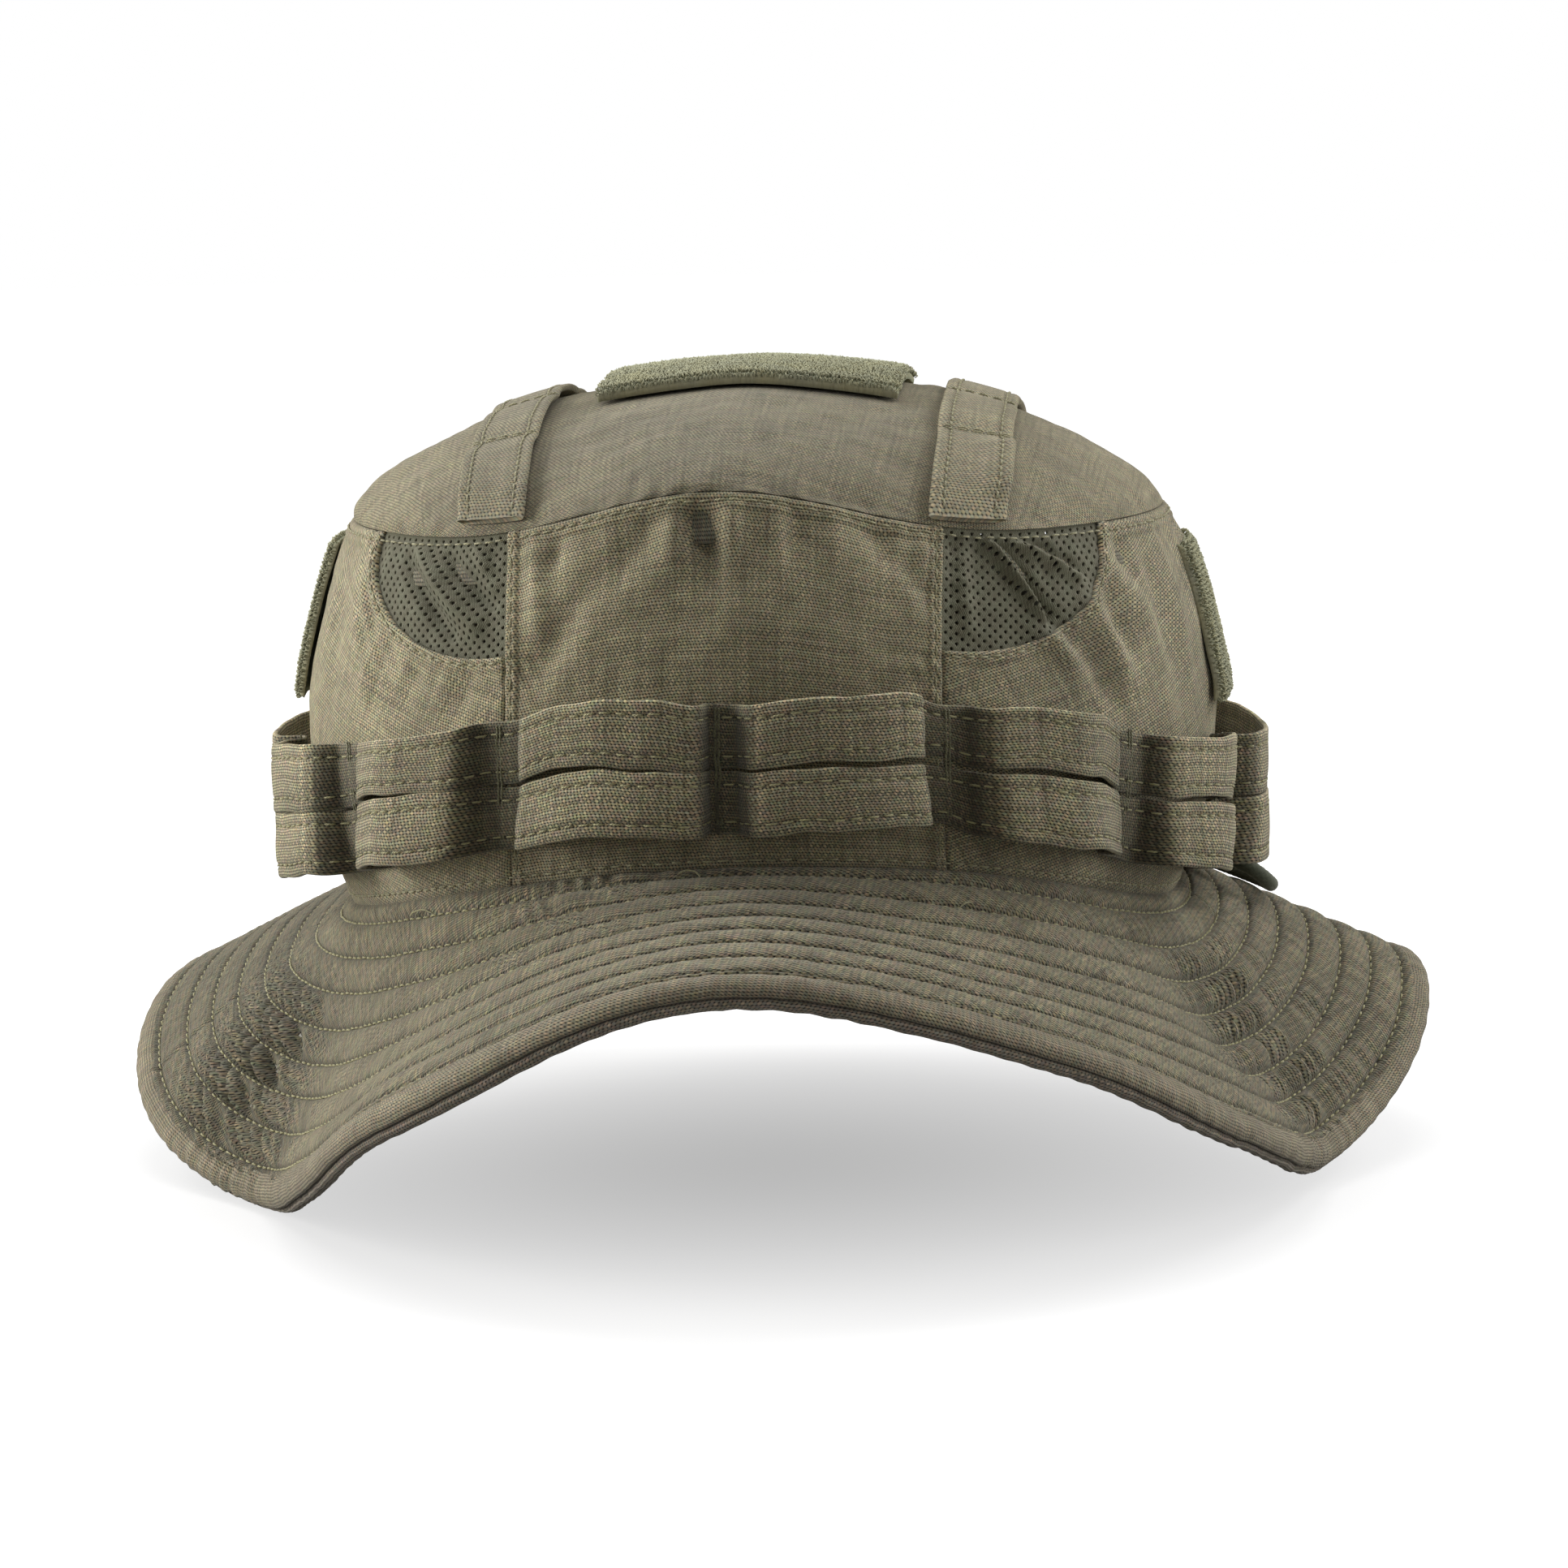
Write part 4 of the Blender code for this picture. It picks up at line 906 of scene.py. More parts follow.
def mesh_vent(which, seam, way):
    hx, hy = 2.6 / 8, 1.15 / 4
    nx, ny = int(49.0 / hx), int(29.6 / hy)
    X = (np.arange(nx) - 4) * hx
    Y = (np.arange(ny)) * hy - 0.85
    x, y = np.meshgrid(X, Y, indexing="ij")
    r = 0.42
    j = np.round((y - 0.6) / 1.15)
    cx = 1.3 * (j % 2)
    i = np.round((x - cx) / 2.6)
    hcx, hcy = i * 2.6 + cx, j * 1.15 + 0.6
    # hole centres fall on the grid's own points
    gx, gy = np.round((hcx - X[0]) / hx) * hx + X[0], np.round((hcy - Y[0]) / hy) * hy + Y[0]
    dx, dy = x - gx, y - gy
    dist = np.hypot(dx, dy)
    qx, qy = (x[:-1, :-1] + x[1:, 1:]) / 2, (y[:-1, :-1] + y[1:, 1:]) / 2
    # a quad belongs to the hole of its nearest corner
    gone = np.zeros(qx.shape, bool)
    for a in (slice(None, -1), slice(1, None)):
        for b in (slice(None, -1), slice(1, None)):
            gone |= dist[a, b] < 1e-6
    v_of = 1 - y / WALL
    u_of = seam + way * x / DEG_MM
    vd = vent_distance(u_of, v_of)
    inside = vd[:-1, :-1] < 1.7
    lace = (vd[:-1, :-1] < -0.2) & (qx > 0.3) & (qy > 0.4)
    keep = inside & ~(gone & lace)
    # round the holes' corners
    near = (dist > 1e-6) & (dist < 0.5) & (vd < -0.2) & (y > 0.4)
    f = np.where(near, r / np.maximum(dist, 1e-6), 1.0)
    xs, ys = gx + dx * f, gy + dy * f
    v_s, u_s = 1 - ys / WALL, seam + way * xs / DEG_MM
    still = smooth(0.2, 4.5, -vd) * smooth(0.0, 3.0, x) * smooth(0.5, 3.5, y)
    fold = creases(u_s, v_s, VENT_FOLDS[which]) * still
    fold = fold + still * (0.55 * fbm(wall_raw(u_s, v_s), 12, 401 + seam, 2))
    own = -creases(u_s, v_s, FOLDS) * 0.6
    rib = 0.05 * np.cos(2 * PI * (ys - 0.6) / 1.15)
    P = wall(u_s, v_s, -0.62 + fold + own * 0 + rib)
    Q = wall(u_s, v_s, -1.02 + fold - rib)
    n = nx * ny
    qi, qj = np.nonzero(keep)
    A = np.stack([qi * ny + qj, (qi + 1) * ny + qj, (qi + 1) * ny + qj + 1, qi * ny + qj + 1], -1)
    if way < 0:
        pass
    else:
        A = A[:, ::-1]
    # walls wherever a quad has no neighbour
    E = np.concatenate([A[:, [0, 1]], A[:, [1, 2]], A[:, [2, 3]], A[:, [3, 0]]])
    key = np.sort(E, 1)
    key = key[:, 0] * (2 * n) + key[:, 1]
    uniq, inv, cnt = np.unique(key, return_inverse=True, return_counts=True)
    E = E[cnt[inv] == 1]
    W = np.stack([E[:, 1], E[:, 0], E[:, 0] + n, E[:, 1] + n], -1)
    F = np.concatenate([A, A[:, ::-1] + n, W])
    used, F2 = np.unique(F, return_inverse=True)
    F2 = F2.reshape(F.shape)
    V = np.concatenate([P.reshape(-1, 3), Q.reshape(-1, 3)])[used]
    U = np.concatenate([np.stack([xs, ys], -1).reshape(-1, 2)] * 2)[used]
    # painted shade: the mesh is lighter on the ridges of its folds and darker in their valleys, and darker near its
    # edge under the panel's lapped hem; the noise is its own tone
    sh = 1.0 + 0.08 * noise(wall_raw(u_s, v_s), 9, 77) + 0.10 * np.clip(fold, -1, 1) - 0.25 * (1 - smooth(-0.2, 2.0, -vd))
    S = np.concatenate([sh.ravel()] * 2)[used]
    ob = build("vent_mesh_" + which, V, [F2], mesh_knit, U, {"shade": S})
    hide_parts("mesh_vent_" + which)
    return ob


for which, seam, way in (("front_right", -60.0, 1), ("front_left", -120.0, -1),
                         ("back_right", 60.0, -1), ("back_left", 120.0, 1)):
    mesh_vent(which, seam, way)

# ---------------------------------------------------------------- crown stitching
lines = []
uu = np.arange(-180.0, 180.01, 0.3)
lines.append(on(wall, uu, 1 - 1.75 / WALL, LAP + 0.02))
lines.append(on(wall, uu, 1.7 / WALL, 0.20))
for seam, way in ((-120, 1), (-60, -1), (60, 1), (120, -1)):
    vv = np.linspace(0.03, 0.965, 220)
    lines.append(on(wall, seam + way * 1.45 / DEG_MM, vv, LAP + 0.06))
th = np.linspace(0.03, PI / 2 - 0.03, 260)
for seam, way in ((-60, 1), (-120, -1), (60, -1), (120, 1)):
    tx, ty = VENT_SPAN * DEG_MM * np.sin(th) ** (2 / 1.95), VENT_DROP * WALL * np.cos(th) ** (2 / 1.95)
    n_x, n_y = np.sin(th) / (VENT_SPAN * DEG_MM), np.cos(th) / (VENT_DROP * WALL)
    g = np.hypot(n_x, n_y)
    tx, ty = tx + 1.35 * n_x / g, ty + 1.35 * n_y / g
    lines.append(on(wall, seam + way * tx / DEG_MM, 1 - ty / WALL, LAP + 0.04))
stitches("crown_stitching", lines, thread_pale, pitch=2.9, length=2.1, dia=0.36, seed=500, high=0.02)

# ---------------------------------------------------------------- straps over the top
STRAP_TACKS = (-47.0, -12.0, 23.0, 58.0)


def strap_point(side, x, y, off):
    lim = 0.9996 * TIP_HALF_LENGTH * np.sqrt(1 - ((side * STRAP_X + x) / TIP_HALF_WIDTH) ** 2)
    yy = np.clip(y * lim / 80.0, -lim, lim)
    lean = -side * (0.7 if side > 0 else 1.6) * smooth(-48, -80, y)
    return dome_xy(side * STRAP_X + x + lean, yy, off)


def strap_lift(side, x, y):
    held = np.max([np.exp(-((y - t) / 5.0) ** 2) for t in STRAP_TACKS + (-80.0, 80.0)], axis=0)
    lift = (1 - held) * (0.65 + 0.25 * n1(y + 40 * side, 18.0, 520))
    if side > 0:   # the outer edge of the right strap stands away from the crown
        lift = lift + 1.9 * window(-80, -70, -56, -46, y) * smooth(-1, 7, x)
    else:
        lift = lift + 0.8 * window(-80, -72, -60, -48, y) * smooth(-1, 7, -x)
    return lift


def strap_face(side, x, y, top=True):
    e = np.clip((np.abs(x) - 5.6) / 1.4, 0, 1)
    if top:
        o = 1.95 - 0.55 * e ** 2.5
        for c in (-4.7, -2.5, 2.5, 4.7):
            pass
        o = o - 0.24 * np.exp(-((np.abs(x) - 4.6) / 0.5) ** 2)
        for t in STRAP_TACKS:
            o = o - 0.30 * np.exp(-((y - t - 0.06 * x * side) / 0.6) ** 2)
        o = o + 0.13 * n1(y, 5.0, 530) * np.exp(-((np.abs(x) - 6.4) / 1.0) ** 2)
    else:
        o = 0.50 + 0.55 * e ** 2.5
    return o + strap_lift(side, x, y)


strap_lines = []
for side, nm in ((-1, "left"), (1, "right")):
    ys = np.linspace(-80.0, 80.0, 210)
    xt = np.concatenate([np.linspace(-7, -5.2, 8), np.linspace(-4.9, -4.2, 4), np.linspace(-3.6, 3.6, 11),
                         np.linspace(4.2, 4.9, 4), np.linspace(5.2, 7, 8)])
    xb = np.linspace(7, -7, 16)[1:-1]
    y2, x2 = np.meshgrid(ys, xt, indexing="ij")
    wob = 0.25 * n1(ys, 16.0, 540 + side)[:, None]
    A = strap_point(side, x2 + wob, y2, strap_face(side, x2, y2))
    y3, x3 = np.meshgrid(ys, xb, indexing="ij")
    Bq = strap_point(side, x3 + wob, y3, strap_face(side, x3, y3, False))
    P = np.concatenate([A, Bq], 1)
    x_all = np.concatenate([x2, x3], 1)
    y_all = np.concatenate([y2, y3], 1)
    nu, nv = P.shape[:2]
    F = [quads(nu, nv, False, True, 0, True)]
    e0, e1 = np.arange(nv), (nu - 1) * nv + np.arange(nv)
    m = len(xt)
    V = np.concatenate([P.reshape(-1, 3), P[0].mean(0)[None], P[-1].mean(0)[None]])
    F.append(np.stack([np.full(nv, nu * nv), e0, np.roll(e0, -1)], -1))
    F.append(np.stack([np.full(nv, nu * nv + 1), np.roll(e1, -1), e1], -1))
    # painted light and shade: darker along the stitch grooves, and the left strap darkened and the right one lightened;
    # lighter along both edges; the noise is the strap's own tone
    sh = 1.0 + 0.12 * np.exp(-((np.abs(x_all) - 6.7) / 0.5) ** 2) - 0.10 * np.exp(-((np.abs(x_all) - 4.6) / 0.4) ** 2)
    sh = sh + 0.06 * n1(y_all.ravel(), 9.0, 551).reshape(y_all.shape)
    ob = build("strap_cloth_" + nm, V, F, strap_cloth,
               np.concatenate([np.stack([x_all, y_all], -1).reshape(-1, 2), [[0, -80], [0, 80]]]),
               {"shade": np.concatenate([sh.ravel() * (0.83 if side < 0 else 1.06), [1, 1]])})
    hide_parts("top_strap_" + nm)
    fine = np.linspace(-79, 79, 700)
    for c in (-4.6, 4.6):
        a = strap_point(side, c + np.interp(fine, ys, wob[:, 0]), fine, strap_face(side, np.full_like(fine, c), fine) + 0.22)
        b = strap_point(side, c + np.interp(fine, ys, wob[:, 0]), fine, strap_face(side, np.full_like(fine, c), fine) + 1.22)
        strap_lines.append((a, unit(b - a)))
    for t in STRAP_TACKS:
        cx = np.linspace(-6.6, 6.6, 40)
        for dy in (-0.7, 0.7):
            cy = t + 0.06 * cx * side + dy
            a = strap_point(side, cx, cy, strap_face(side, cx, cy) + 0.24)
            b = strap_point(side, cx, cy, strap_face(side, cx, cy) + 1.24)
            strap_lines.append((a, unit(b - a)))
stitches("strap_stitching", strap_lines, thread_pale, pitch=2.7, length=2.0, dia=0.38, seed=560, high=0.03)


# ---------------------------------------------------------------- loop-pile patches
def tufts(name, P, N, T, seed, size=1.0, body="hat"):
    """Loops of pile: tiny arches of thread standing on points P."""
    k = np.arange(len(P))
    a = 2 * PI * n1(k * 3.1, 1.0, seed)
    B = np.cross(N, T)
    D1 = T * np.cos(a)[:, None] + B * np.sin(a)[:, None]
    lean = (T * n1(k * 5.3, 1.0, seed + 1)[:, None] + B * n1(k * 7.7, 1.0, seed + 2)[:, None]) * 0.30
    h = size * (0.95 + 0.35 * n1(k * 2.3, 1.0, seed + 3))
    w = size * 0.34
    arch = [(-1.0, 0.0), (-1.05, 0.62), (0.0, 1.0), (1.05, 0.62), (1.0, 0.0)]
    rings = []
    for x, z in arch:
        c = P + D1 * (x * w) + N * (z * h)[:, None] + lean * (z * h)[:, None]
        out = unit(D1 * x + N * (z + 0.05))
        side = unit(np.cross(D1, N))
        rad = 0.17 * size
        rings.append(np.stack([c + out * rad, c + side * rad * 0.87 - out * rad * 0.5,
                               c - side * rad * 0.87 - out * rad * 0.5], 1))
    ring = np.stack(rings, 1)                     # tuft, station, 3, xyz
    K = len(ring)
    i, j = np.meshgrid(np.arange(4), np.arange(3), indexing="ij")
    q = np.stack([i * 3 + j, i * 3 + (j + 1) % 3, (i + 1) * 3 + (j + 1) % 3, (i + 1) * 3 + j], -1).reshape(-1, 4)
    caps = np.array([[2, 1, 0], [12, 13, 14]])
    base = (np.arange(K) * 15)[:, None, None]
    # painted shade and highlight: each loop is darker at its feet and lighter at its top; sh is each loop's own tone
    sh = 0.95 + 0.30 * n1(k * 4.1, 1.0, seed + 4)
    shade = sh[:, None, None] * np.array([0.6, 0.9, 1.15, 0.9, 0.6])[None, :, None] * np.ones((1, 1, 3))
    uv = np.repeat(P[:, None, None, :2], 5, 1).repeat(3, 2)
    return build(name, ring.reshape(-1, 3), [(base + q[None]).reshape(-1, 4), (base + caps[None]).reshape(-1, 3)],
                 pile_mat, uv.reshape(-1, 2), {"shade": shade.ravel()}, body)


def pad(name, point, W, L, thick, node, seed, cell=0.86, soft=0.3, pile_shade=1.0):
    """Rounded pad of the backing cloth with loops of pile over its face and edges. point(x, y, off)."""
    xs, ys = spaced(-W / 2, W / 2, 1.2, 2.0, 0.4), spaced(-L / 2, L / 2, 1.2, 2.0, 0.4)
    x, y = np.meshgrid(xs, ys, indexing="ij")
    e = np.minimum(W / 2 - np.abs(x), L / 2 - np.abs(y))
    face = thick - 0.75 - 0.9 * np.clip(1 - e / 1.2, 0, 1) ** 2
    face = face + soft * 0.4 * noise(np.stack([x, y, 0 * x], -1), 7, seed)
    P, Q = point(x, y, face), point(x, y, np.full_like(x, 0.0))
    sh = 0.62 + 0.10 * noise(np.stack([x, y, 0 * x], -1), 3, seed + 1) + 0.35 * np.exp(-(e / 0.8) ** 2)
    base = solid(name, P, Q, np.stack([x, y], -1), pile_mat, attrs={"shade": sh})
    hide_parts(node)
    nx, ny = int(W / cell), int(L / cell)
    i, j = np.meshgrid(np.arange(nx), np.arange(ny), indexing="ij")
    k = (i * 131 + j * 17).ravel()
    px = ((i + 0.5 + 0.5 * (j % 2) * 0.9) / nx * W - W / 2).ravel() + 0.28 * n1(k * 1.7, 1.0, seed + 2)
    py = ((j + 0.5) / ny * L - L / 2).ravel() + 0.28 * n1(k * 2.9, 1.0, seed + 3)
    px, py = np.clip(px, -W / 2 + 0.25, W / 2 - 0.25), np.clip(py, -L / 2 + 0.25, L / 2 - 0.25)
    e = np.minimum(W / 2 - np.abs(px), L / 2 - np.abs(py))
    f = thick - 0.85 - 0.9 * np.clip(1 - e / 1.2, 0, 1) ** 2
    A = point(px, py, f)
    N = unit(point(px, py, f + 1.0) - A)
    # at the edges the loops lean outwards
    T = unit(point(px + 0.5, py, f) - A)
    B = np.cross(N, T)
    lx = np.clip((np.abs(px) - (W / 2 - 1.3)) / 1.3, 0, 1) * np.sign(px)
    ly = np.clip((np.abs(py) - (L / 2 - 1.3)) / 1.3, 0, 1) * np.sign(py)
    N = unit(N + T * lx[:, None] * 0.9 + B * ly[:, None] * 0.9)
    tufts(name + "_loops", A, N, T, seed + 10)
    return base


pad("patch_top", lambda x, y, o: dome_xy(x + 0.4, y + 2.0, 0.45 + o), 58.5, 66.0, 2.7, "top_loop_patch", 600)


def side_patch_point(centre):
    way = 1.0 if centre == 0.0 else -1.0

    def point(x, y, o):
        u = centre + x / 30.0 * 10.4 * 1.3
        v = (0.70 if centre == 0.0 else 0.735) + y / 31.0 * 0.40
        stand = np.clip((0.755 - v) / 0.205, 0, 1) ** 2 * (0.9 if centre == 0.0 else 0.5)
        stand = stand + np.clip((v - 0.90) / 0.06, 0, 1) ** 2 * 0.5
        return wall(u, v, 0.45 + o + stand, soft=0.3)
    return point


pad("patch_side_right", side_patch_point(0.0), 60.0 * 0.72, 31.0, 2.05, "side_loop_patch_right", 630)
pad("patch_side_left", side_patch_point(180.0), 60.0 * 0.72, 31.0, 2.0, "side_loop_patch_left", 660)

# ---------------------------------------------------------------- foliage band
_rx = np.array([p[0] for p in BAND_RISE], float)
_ry = np.array([p[1] for p in BAND_RISE], float)


def rise(u):
    x = (np.asarray(u, float) + 120.0) % 360.0 - 120.0
    i = np.clip(np.searchsorted(_rx, x, side="right") - 1, 0, len(_rx) - 2)
    t = (x - _rx[i]) / (_rx[i + 1] - _rx[i])
    return (_ry[i] + (_ry[i + 1] - _ry[i]) * t * t * (3 - 2 * t)) / WALL


END = ((0.0, 1.35), (1.5, 1.35), (2.6, 2.3), (3.1, 5.4), (3.9, 8.6), (6.6, 10.3))
# each loop: flat stretch, slope and height at its first end, height of its middle, then height, slope and flat stretch
# at its other end; every loop opens gently toward the front of the hat and closes steeply on its far side
LOOP = ((1.5, 2.7, .80, .85, .72, 0.9, 6.0), (1.5, 2.6, .75, .80, .50, 0.9, 5.5), (2.5, 1.6, .70, .80, .60, 1.0, 8.0),
        (1.5, 1.3, .90, .98, .95, 1.6, 1.5), (1.5, 1.3, .95, .95, .95, 1.6, 1.5), (1.5, 1.1, .90, .92, .90, 1.8, 1.5),
        (1.5, 1.7, .90, .95, .95, 1.1, 2.5), (2.5, 1.4, .95, 1.0, .95, 1.2, 1.5), (1.5, 1.2, .90, .85, .78, 1.3, 1.5),
        (1.5, 1.0, .42, .68, .70, 2.4, 1.5), (8.0, 0.9, .58, .72, .70, 2.5, 1.5), (5.5, 1.3, .62, .78, .76, 0.9, 1.5))
knots = []
for k, tack in enumerate(TACKS):
    x0 = (tack + 90.0) * DEG_MM
    wd = ((TACKS + (270,))[k + 1] - tack) * DEG_MM
    fl, kl, bl, bm, br, kr, fr = LOOP[k]

    def shaped(a, b, g, flat, bul):
        return (a if a < 1.5 else flat + (a - 1.5) * g), 1.35 + (b - 1.35) * bul
    L_ = [shaped(a, b, kl, fl, bl) for a, b in END]
    R_ = [shaped(a, b, kr, fr, br) for a, b in END[1:]]
    midx = (L_[-1][0] + wd - R_[-1][0]) / 2
    knots += [(x0 + a, b) for a, b in L_] + [(x0 + midx, 1.35 + 9.9 * bm)] + [(x0 + wd - a, b) for a, b in reversed(R_)]
knots = np.array(knots)
loop_len = 360.0 * DEG_MM


def closed_curve(K, step):
    """Even points on a smooth closed curve through K, which comes round again after loop_len."""
    m = len(K)
    ext = np.concatenate([K[-2:] - [loop_len, 0], K, K[:3] + [loop_len, 0]])
    out = []
    for i in range(2, m + 2):
        a, b, c, d = ext[i - 1], ext[i], ext[i + 1], ext[i + 2]
        ta = 0.5 * (c - a) * 1.0
        tb = 0.5 * (d - b) * 1.0
        ln = np.linalg.norm(c - b)
        ta = ta / max(np.linalg.norm(ta), 1e-9) * ln
        tb = tb / max(np.linalg.norm(tb), 1e-9) * ln
        t = np.linspace(0, 1, 13)[:-1, None]
        out.append((2 * t ** 3 - 3 * t ** 2 + 1) * b + (t ** 3 - 2 * t ** 2 + t) * ta
                   + (-2 * t ** 3 + 3 * t ** 2) * c + (t ** 3 - t ** 2) * tb)
    out = np.concatenate(out + [K[:1] + [loop_len, 0]])
    run = np.concatenate([[0.0], np.cumsum(np.linalg.norm(np.diff(out, axis=0), axis=1))])
    n = int(run[-1] / step)
    want = np.linspace(0, run[-1], n + 1)[:-1]
    return np.stack([np.interp(want, run, out[:, 0]), np.interp(want, run, out[:, 1])], -1), want, run[-1]


strip_xy, strip_run, STRIP_LENGTH = closed_curve(knots, 0.88)
nxt, prv = np.roll(strip_xy, -1, 0), np.roll(strip_xy, 1, 0)
nxt[-1, 0] += loop_len
prv[0, 0] -= loop_len
tan2 = unit(nxt - prv)
strip_n = np.stack([-tan2[:, 1], tan2[:, 0]], -1)
A_REF = half_axes(0.42)[0]
STRIP_H = 13.6


# how far the strips' edges sit above or below their even run round the hat: azimuth, then the top of the upper strip,
# its bottom, the top of the lower strip and its bottom, in mm
SAG = np.array([(-207, -.3, -.5, -.6, -.4), (-186, -.3, -.6, -.7, -.4), (-174, -.6, -.8, -.9, -.5), (-165, -.4, -.6, -.7, -.6),
                (-150, 0, 0, -.2, 0), (-143, 0, 1.0, .7, .3), (-138, .2, 2.0, 1.6, .2), (-122, .3, .8, .6, 0),
                (-117, -.2, .3, 0, 0), (-108, .5, 1.5, 1.0, 0), (-98, .3, .3, 0, 0), (-92, -.7, -.4, -.5, 0),
                (-88, -1.2, -.4, -.5, -.3), (-75, 0, 0, -.2, 0), (-66, 1.4, 1.3, .3, .6), (-61, -.4, 1.8, .2, .5),
                (-57, 0, 0, -.2, -1.1), (-50, 1.6, 1.3, .9, -1.6), (-42, 1.0, .6, .3, -1.4), (-36, -.5, -.6, -.8, -1.2),
                (-30, -1.4, -.9, -1.2, -2.0), (-15, -1.3, -.8, -1.1, -2.2), (-6, -2.6, -1.8, -2.1, -2.6),
                (10, -3.4, -2.4, -2.7, -2.9), (27, -2.0, -1.5, -1.6, -1.5), (45, 0, 0, 0, 0), (153, 0, 0, 0, 0)], float)


def sag(u, col):
    x = (np.asarray(u, float) + 207.0) % 360.0 - 207.0
    i = np.clip(np.searchsorted(SAG[:, 0], x, side="right") - 1, 0, len(SAG) - 2)
    t = (x - SAG[i, 0]) / (SAG[i + 1, 0] - SAG[i, 0])
    t = t * t * (3 - 2 * t)
    out = SAG[i, col] + (SAG[i + 1, col] - SAG[i, col]) * t
    last = x >= SAG[-1, 0]
    return np.where(last, 0.0, out)


class Strip:
    """One row of the foliage band. h runs up its height from 0 to 1, o is the distance off its middle."""

    def __init__(self, v0, v1, seed):
        self.v0, self.v1, self.seed = v0, v1, seed
        r = strip_run
        self.low = 0.70 * n1(r, 15.0, seed) + 0.46 * n1(r, 5.5, seed + 1)
        self.high = 0.70 * n1(r, 17.0, seed + 2) + 0.46 * n1(r, 6.0, seed + 3)
        self.flare = 1.3 * n1(r, 24.0, seed + 4)
        self.free = np.clip((strip_xy[:, 1] - 1.4) / 5.0, 0, 1)

    def at(self, h, o):
        """h and o: arrays (m,) or (n, m); gives (n, m, 3)."""
        n = len(strip_run)
        h = np.broadcast_to(h, (n, np.shape(h)[-1]))
        o = np.broadcast_to(o, h.shape)
        x = strip_xy[:, :1] + strip_n[:, :1] * o
        r = strip_xy[:, 1:] + strip_n[:, 1:] * o
        f = self.free[:, None]
        r = r + f * self.flare[:, None] * (2 * h - 1) * 0.6
        r = r + f * 0.35 * noise(np.stack([np.broadcast_to(strip_run[:, None], h.shape), h * 14, 0 * h], -1), 6.5, self.seed + 6)
        u = -90.0 + x / DEG_MM
        dv = (self.low[:, None] * (1 - h) + self.high[:, None] * h) * (0.35 + 0.65 * f) / WALL
        v = self.v0 + (self.v1 - self.v0) * h + rise(u) + dv
        hang = np.clip((r - 1.35) / (BAND_BULGE - 1.35), 0, 1)
        p = wall_out(u, v, r + hang * (A_REF - half_axes(v)[0]))
        c = (2, 1) if self.v0 > 0.2 else (4, 3)
        p[..., 2] += sag(u, c[0]) * (1 - h) + sag(u, c[1]) * h
        sn = np.abs(np.sin(azimuth(u, v)))
        p[..., 2] -= v * (2.8 + 10.2 * sn ** 11 - 13.0 * sn ** 7)
        return p


def profile():
    """Section of the folded strip, from the bottom of the outer face round to the bottom again."""
    def face(h):
        g = 0.62 + 0.16 * np.sin(PI * np.clip((h - 0.2) / 0.6, 0, 1)) + 0.05
        g = g - 0.34 * np.exp(-((h - 0.20) / 0.028) ** 2) - 0.34 * np.exp(-((h - 0.80) / 0.028) ** 2)
        e = np.clip(1 - np.minimum(h, 1 - h) / 0.05, 0, 1)
        return g * (1 - 0.45 * e ** 2)
    ho = np.array([.012, .03, .06, .10, .14, .172, .188, .20, .212, .228, .27, .34, .42, .50, .58, .66, .73, .772, .788,
                   .80, .812, .828, .86, .90, .94, .97, .988])
    top = [(1.000, 0.30), (1.004, 0.0), (1.000, -0.30)]
    hi = np.array([.985, .93, .80, .65, .50, .35, .20, .07, .015])
    bot = [(0.0, -0.30), (-0.004, 0.0), (0.0, 0.30)]
    h = np.concatenate([ho, [a for a, b in top], hi, [a for a, b in bot]])
    o = np.concatenate([face(ho), [b for a, b in top], -0.85 * face(hi), [b for a, b in bot]])
    return h, o


def band(name, v0, v1, node, seed):
    S = Strip(v0, v1, seed)
    h, o = profile()
    P = S.at(h, o)
    nu, nv = P.shape[:2]
    uv = np.stack([np.broadcast_to(strip_run[:, None], (nu, nv)), np.broadcast_to(h * STRIP_H, (nu, nv))], -1)
    edge = np.minimum(np.abs(h), np.abs(1 - h))
    # painted light and shade: the strips are lighter at their folded edges (wear and painted highlight), darker in the
    # stitch grooves, on their inner face, toward the bottom of each strip, near the tacks and where the strip turns
    # steeply, and lighter toward the top of each strip; the noise along the strip is its own tone
    sh = 1.0 + 0.20 * np.exp(-(edge / 0.025) ** 2) - 0.14 * (np.exp(-((h - .2) / .03) ** 2) + np.exp(-((h - .8) / .03) ** 2))
    sh = np.where(o < -0.35, 0.75, sh)[None] * (1 + 0.08 * n1(strip_run, 12.0, seed + 9))[:, None]
    sh = sh * (1 + 0.14 * n1(strip_run, 30.0, seed + 11))[:, None] * (1 - 0.26 * smooth(0.74, 1.0, 1 - h) + 0.10 * smooth(0.80, 1.0, h))[None]
    steep = np.abs(tan2[:, 1])
    sh = sh * (0.46 + 0.54 * S.free[:, None]) * (1 - 0.42 * smooth(0.30, 0.90, steep))[:, None]
    ob = build(name, P.reshape(-1, 3), [quads(nu, nv, True, True)], band_cloth, uv.reshape(-1, 2), {"shade": sh})
    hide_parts(node)
    ls = []
    for hh in (0.20, 0.80):
        a, b = S.at(np.array([hh]), np.array([0.56])), S.at(np.array([hh]), np.array([1.56]))
        ls.append((a[:, 0], unit(b - a)[:, 0]))
    return ob, ls, S


def cut_area(ob):
    """Half the surface of a closed sheet, in square metres."""
    me = ob.data
    return sum(p.area for p in me.polygons) / 2


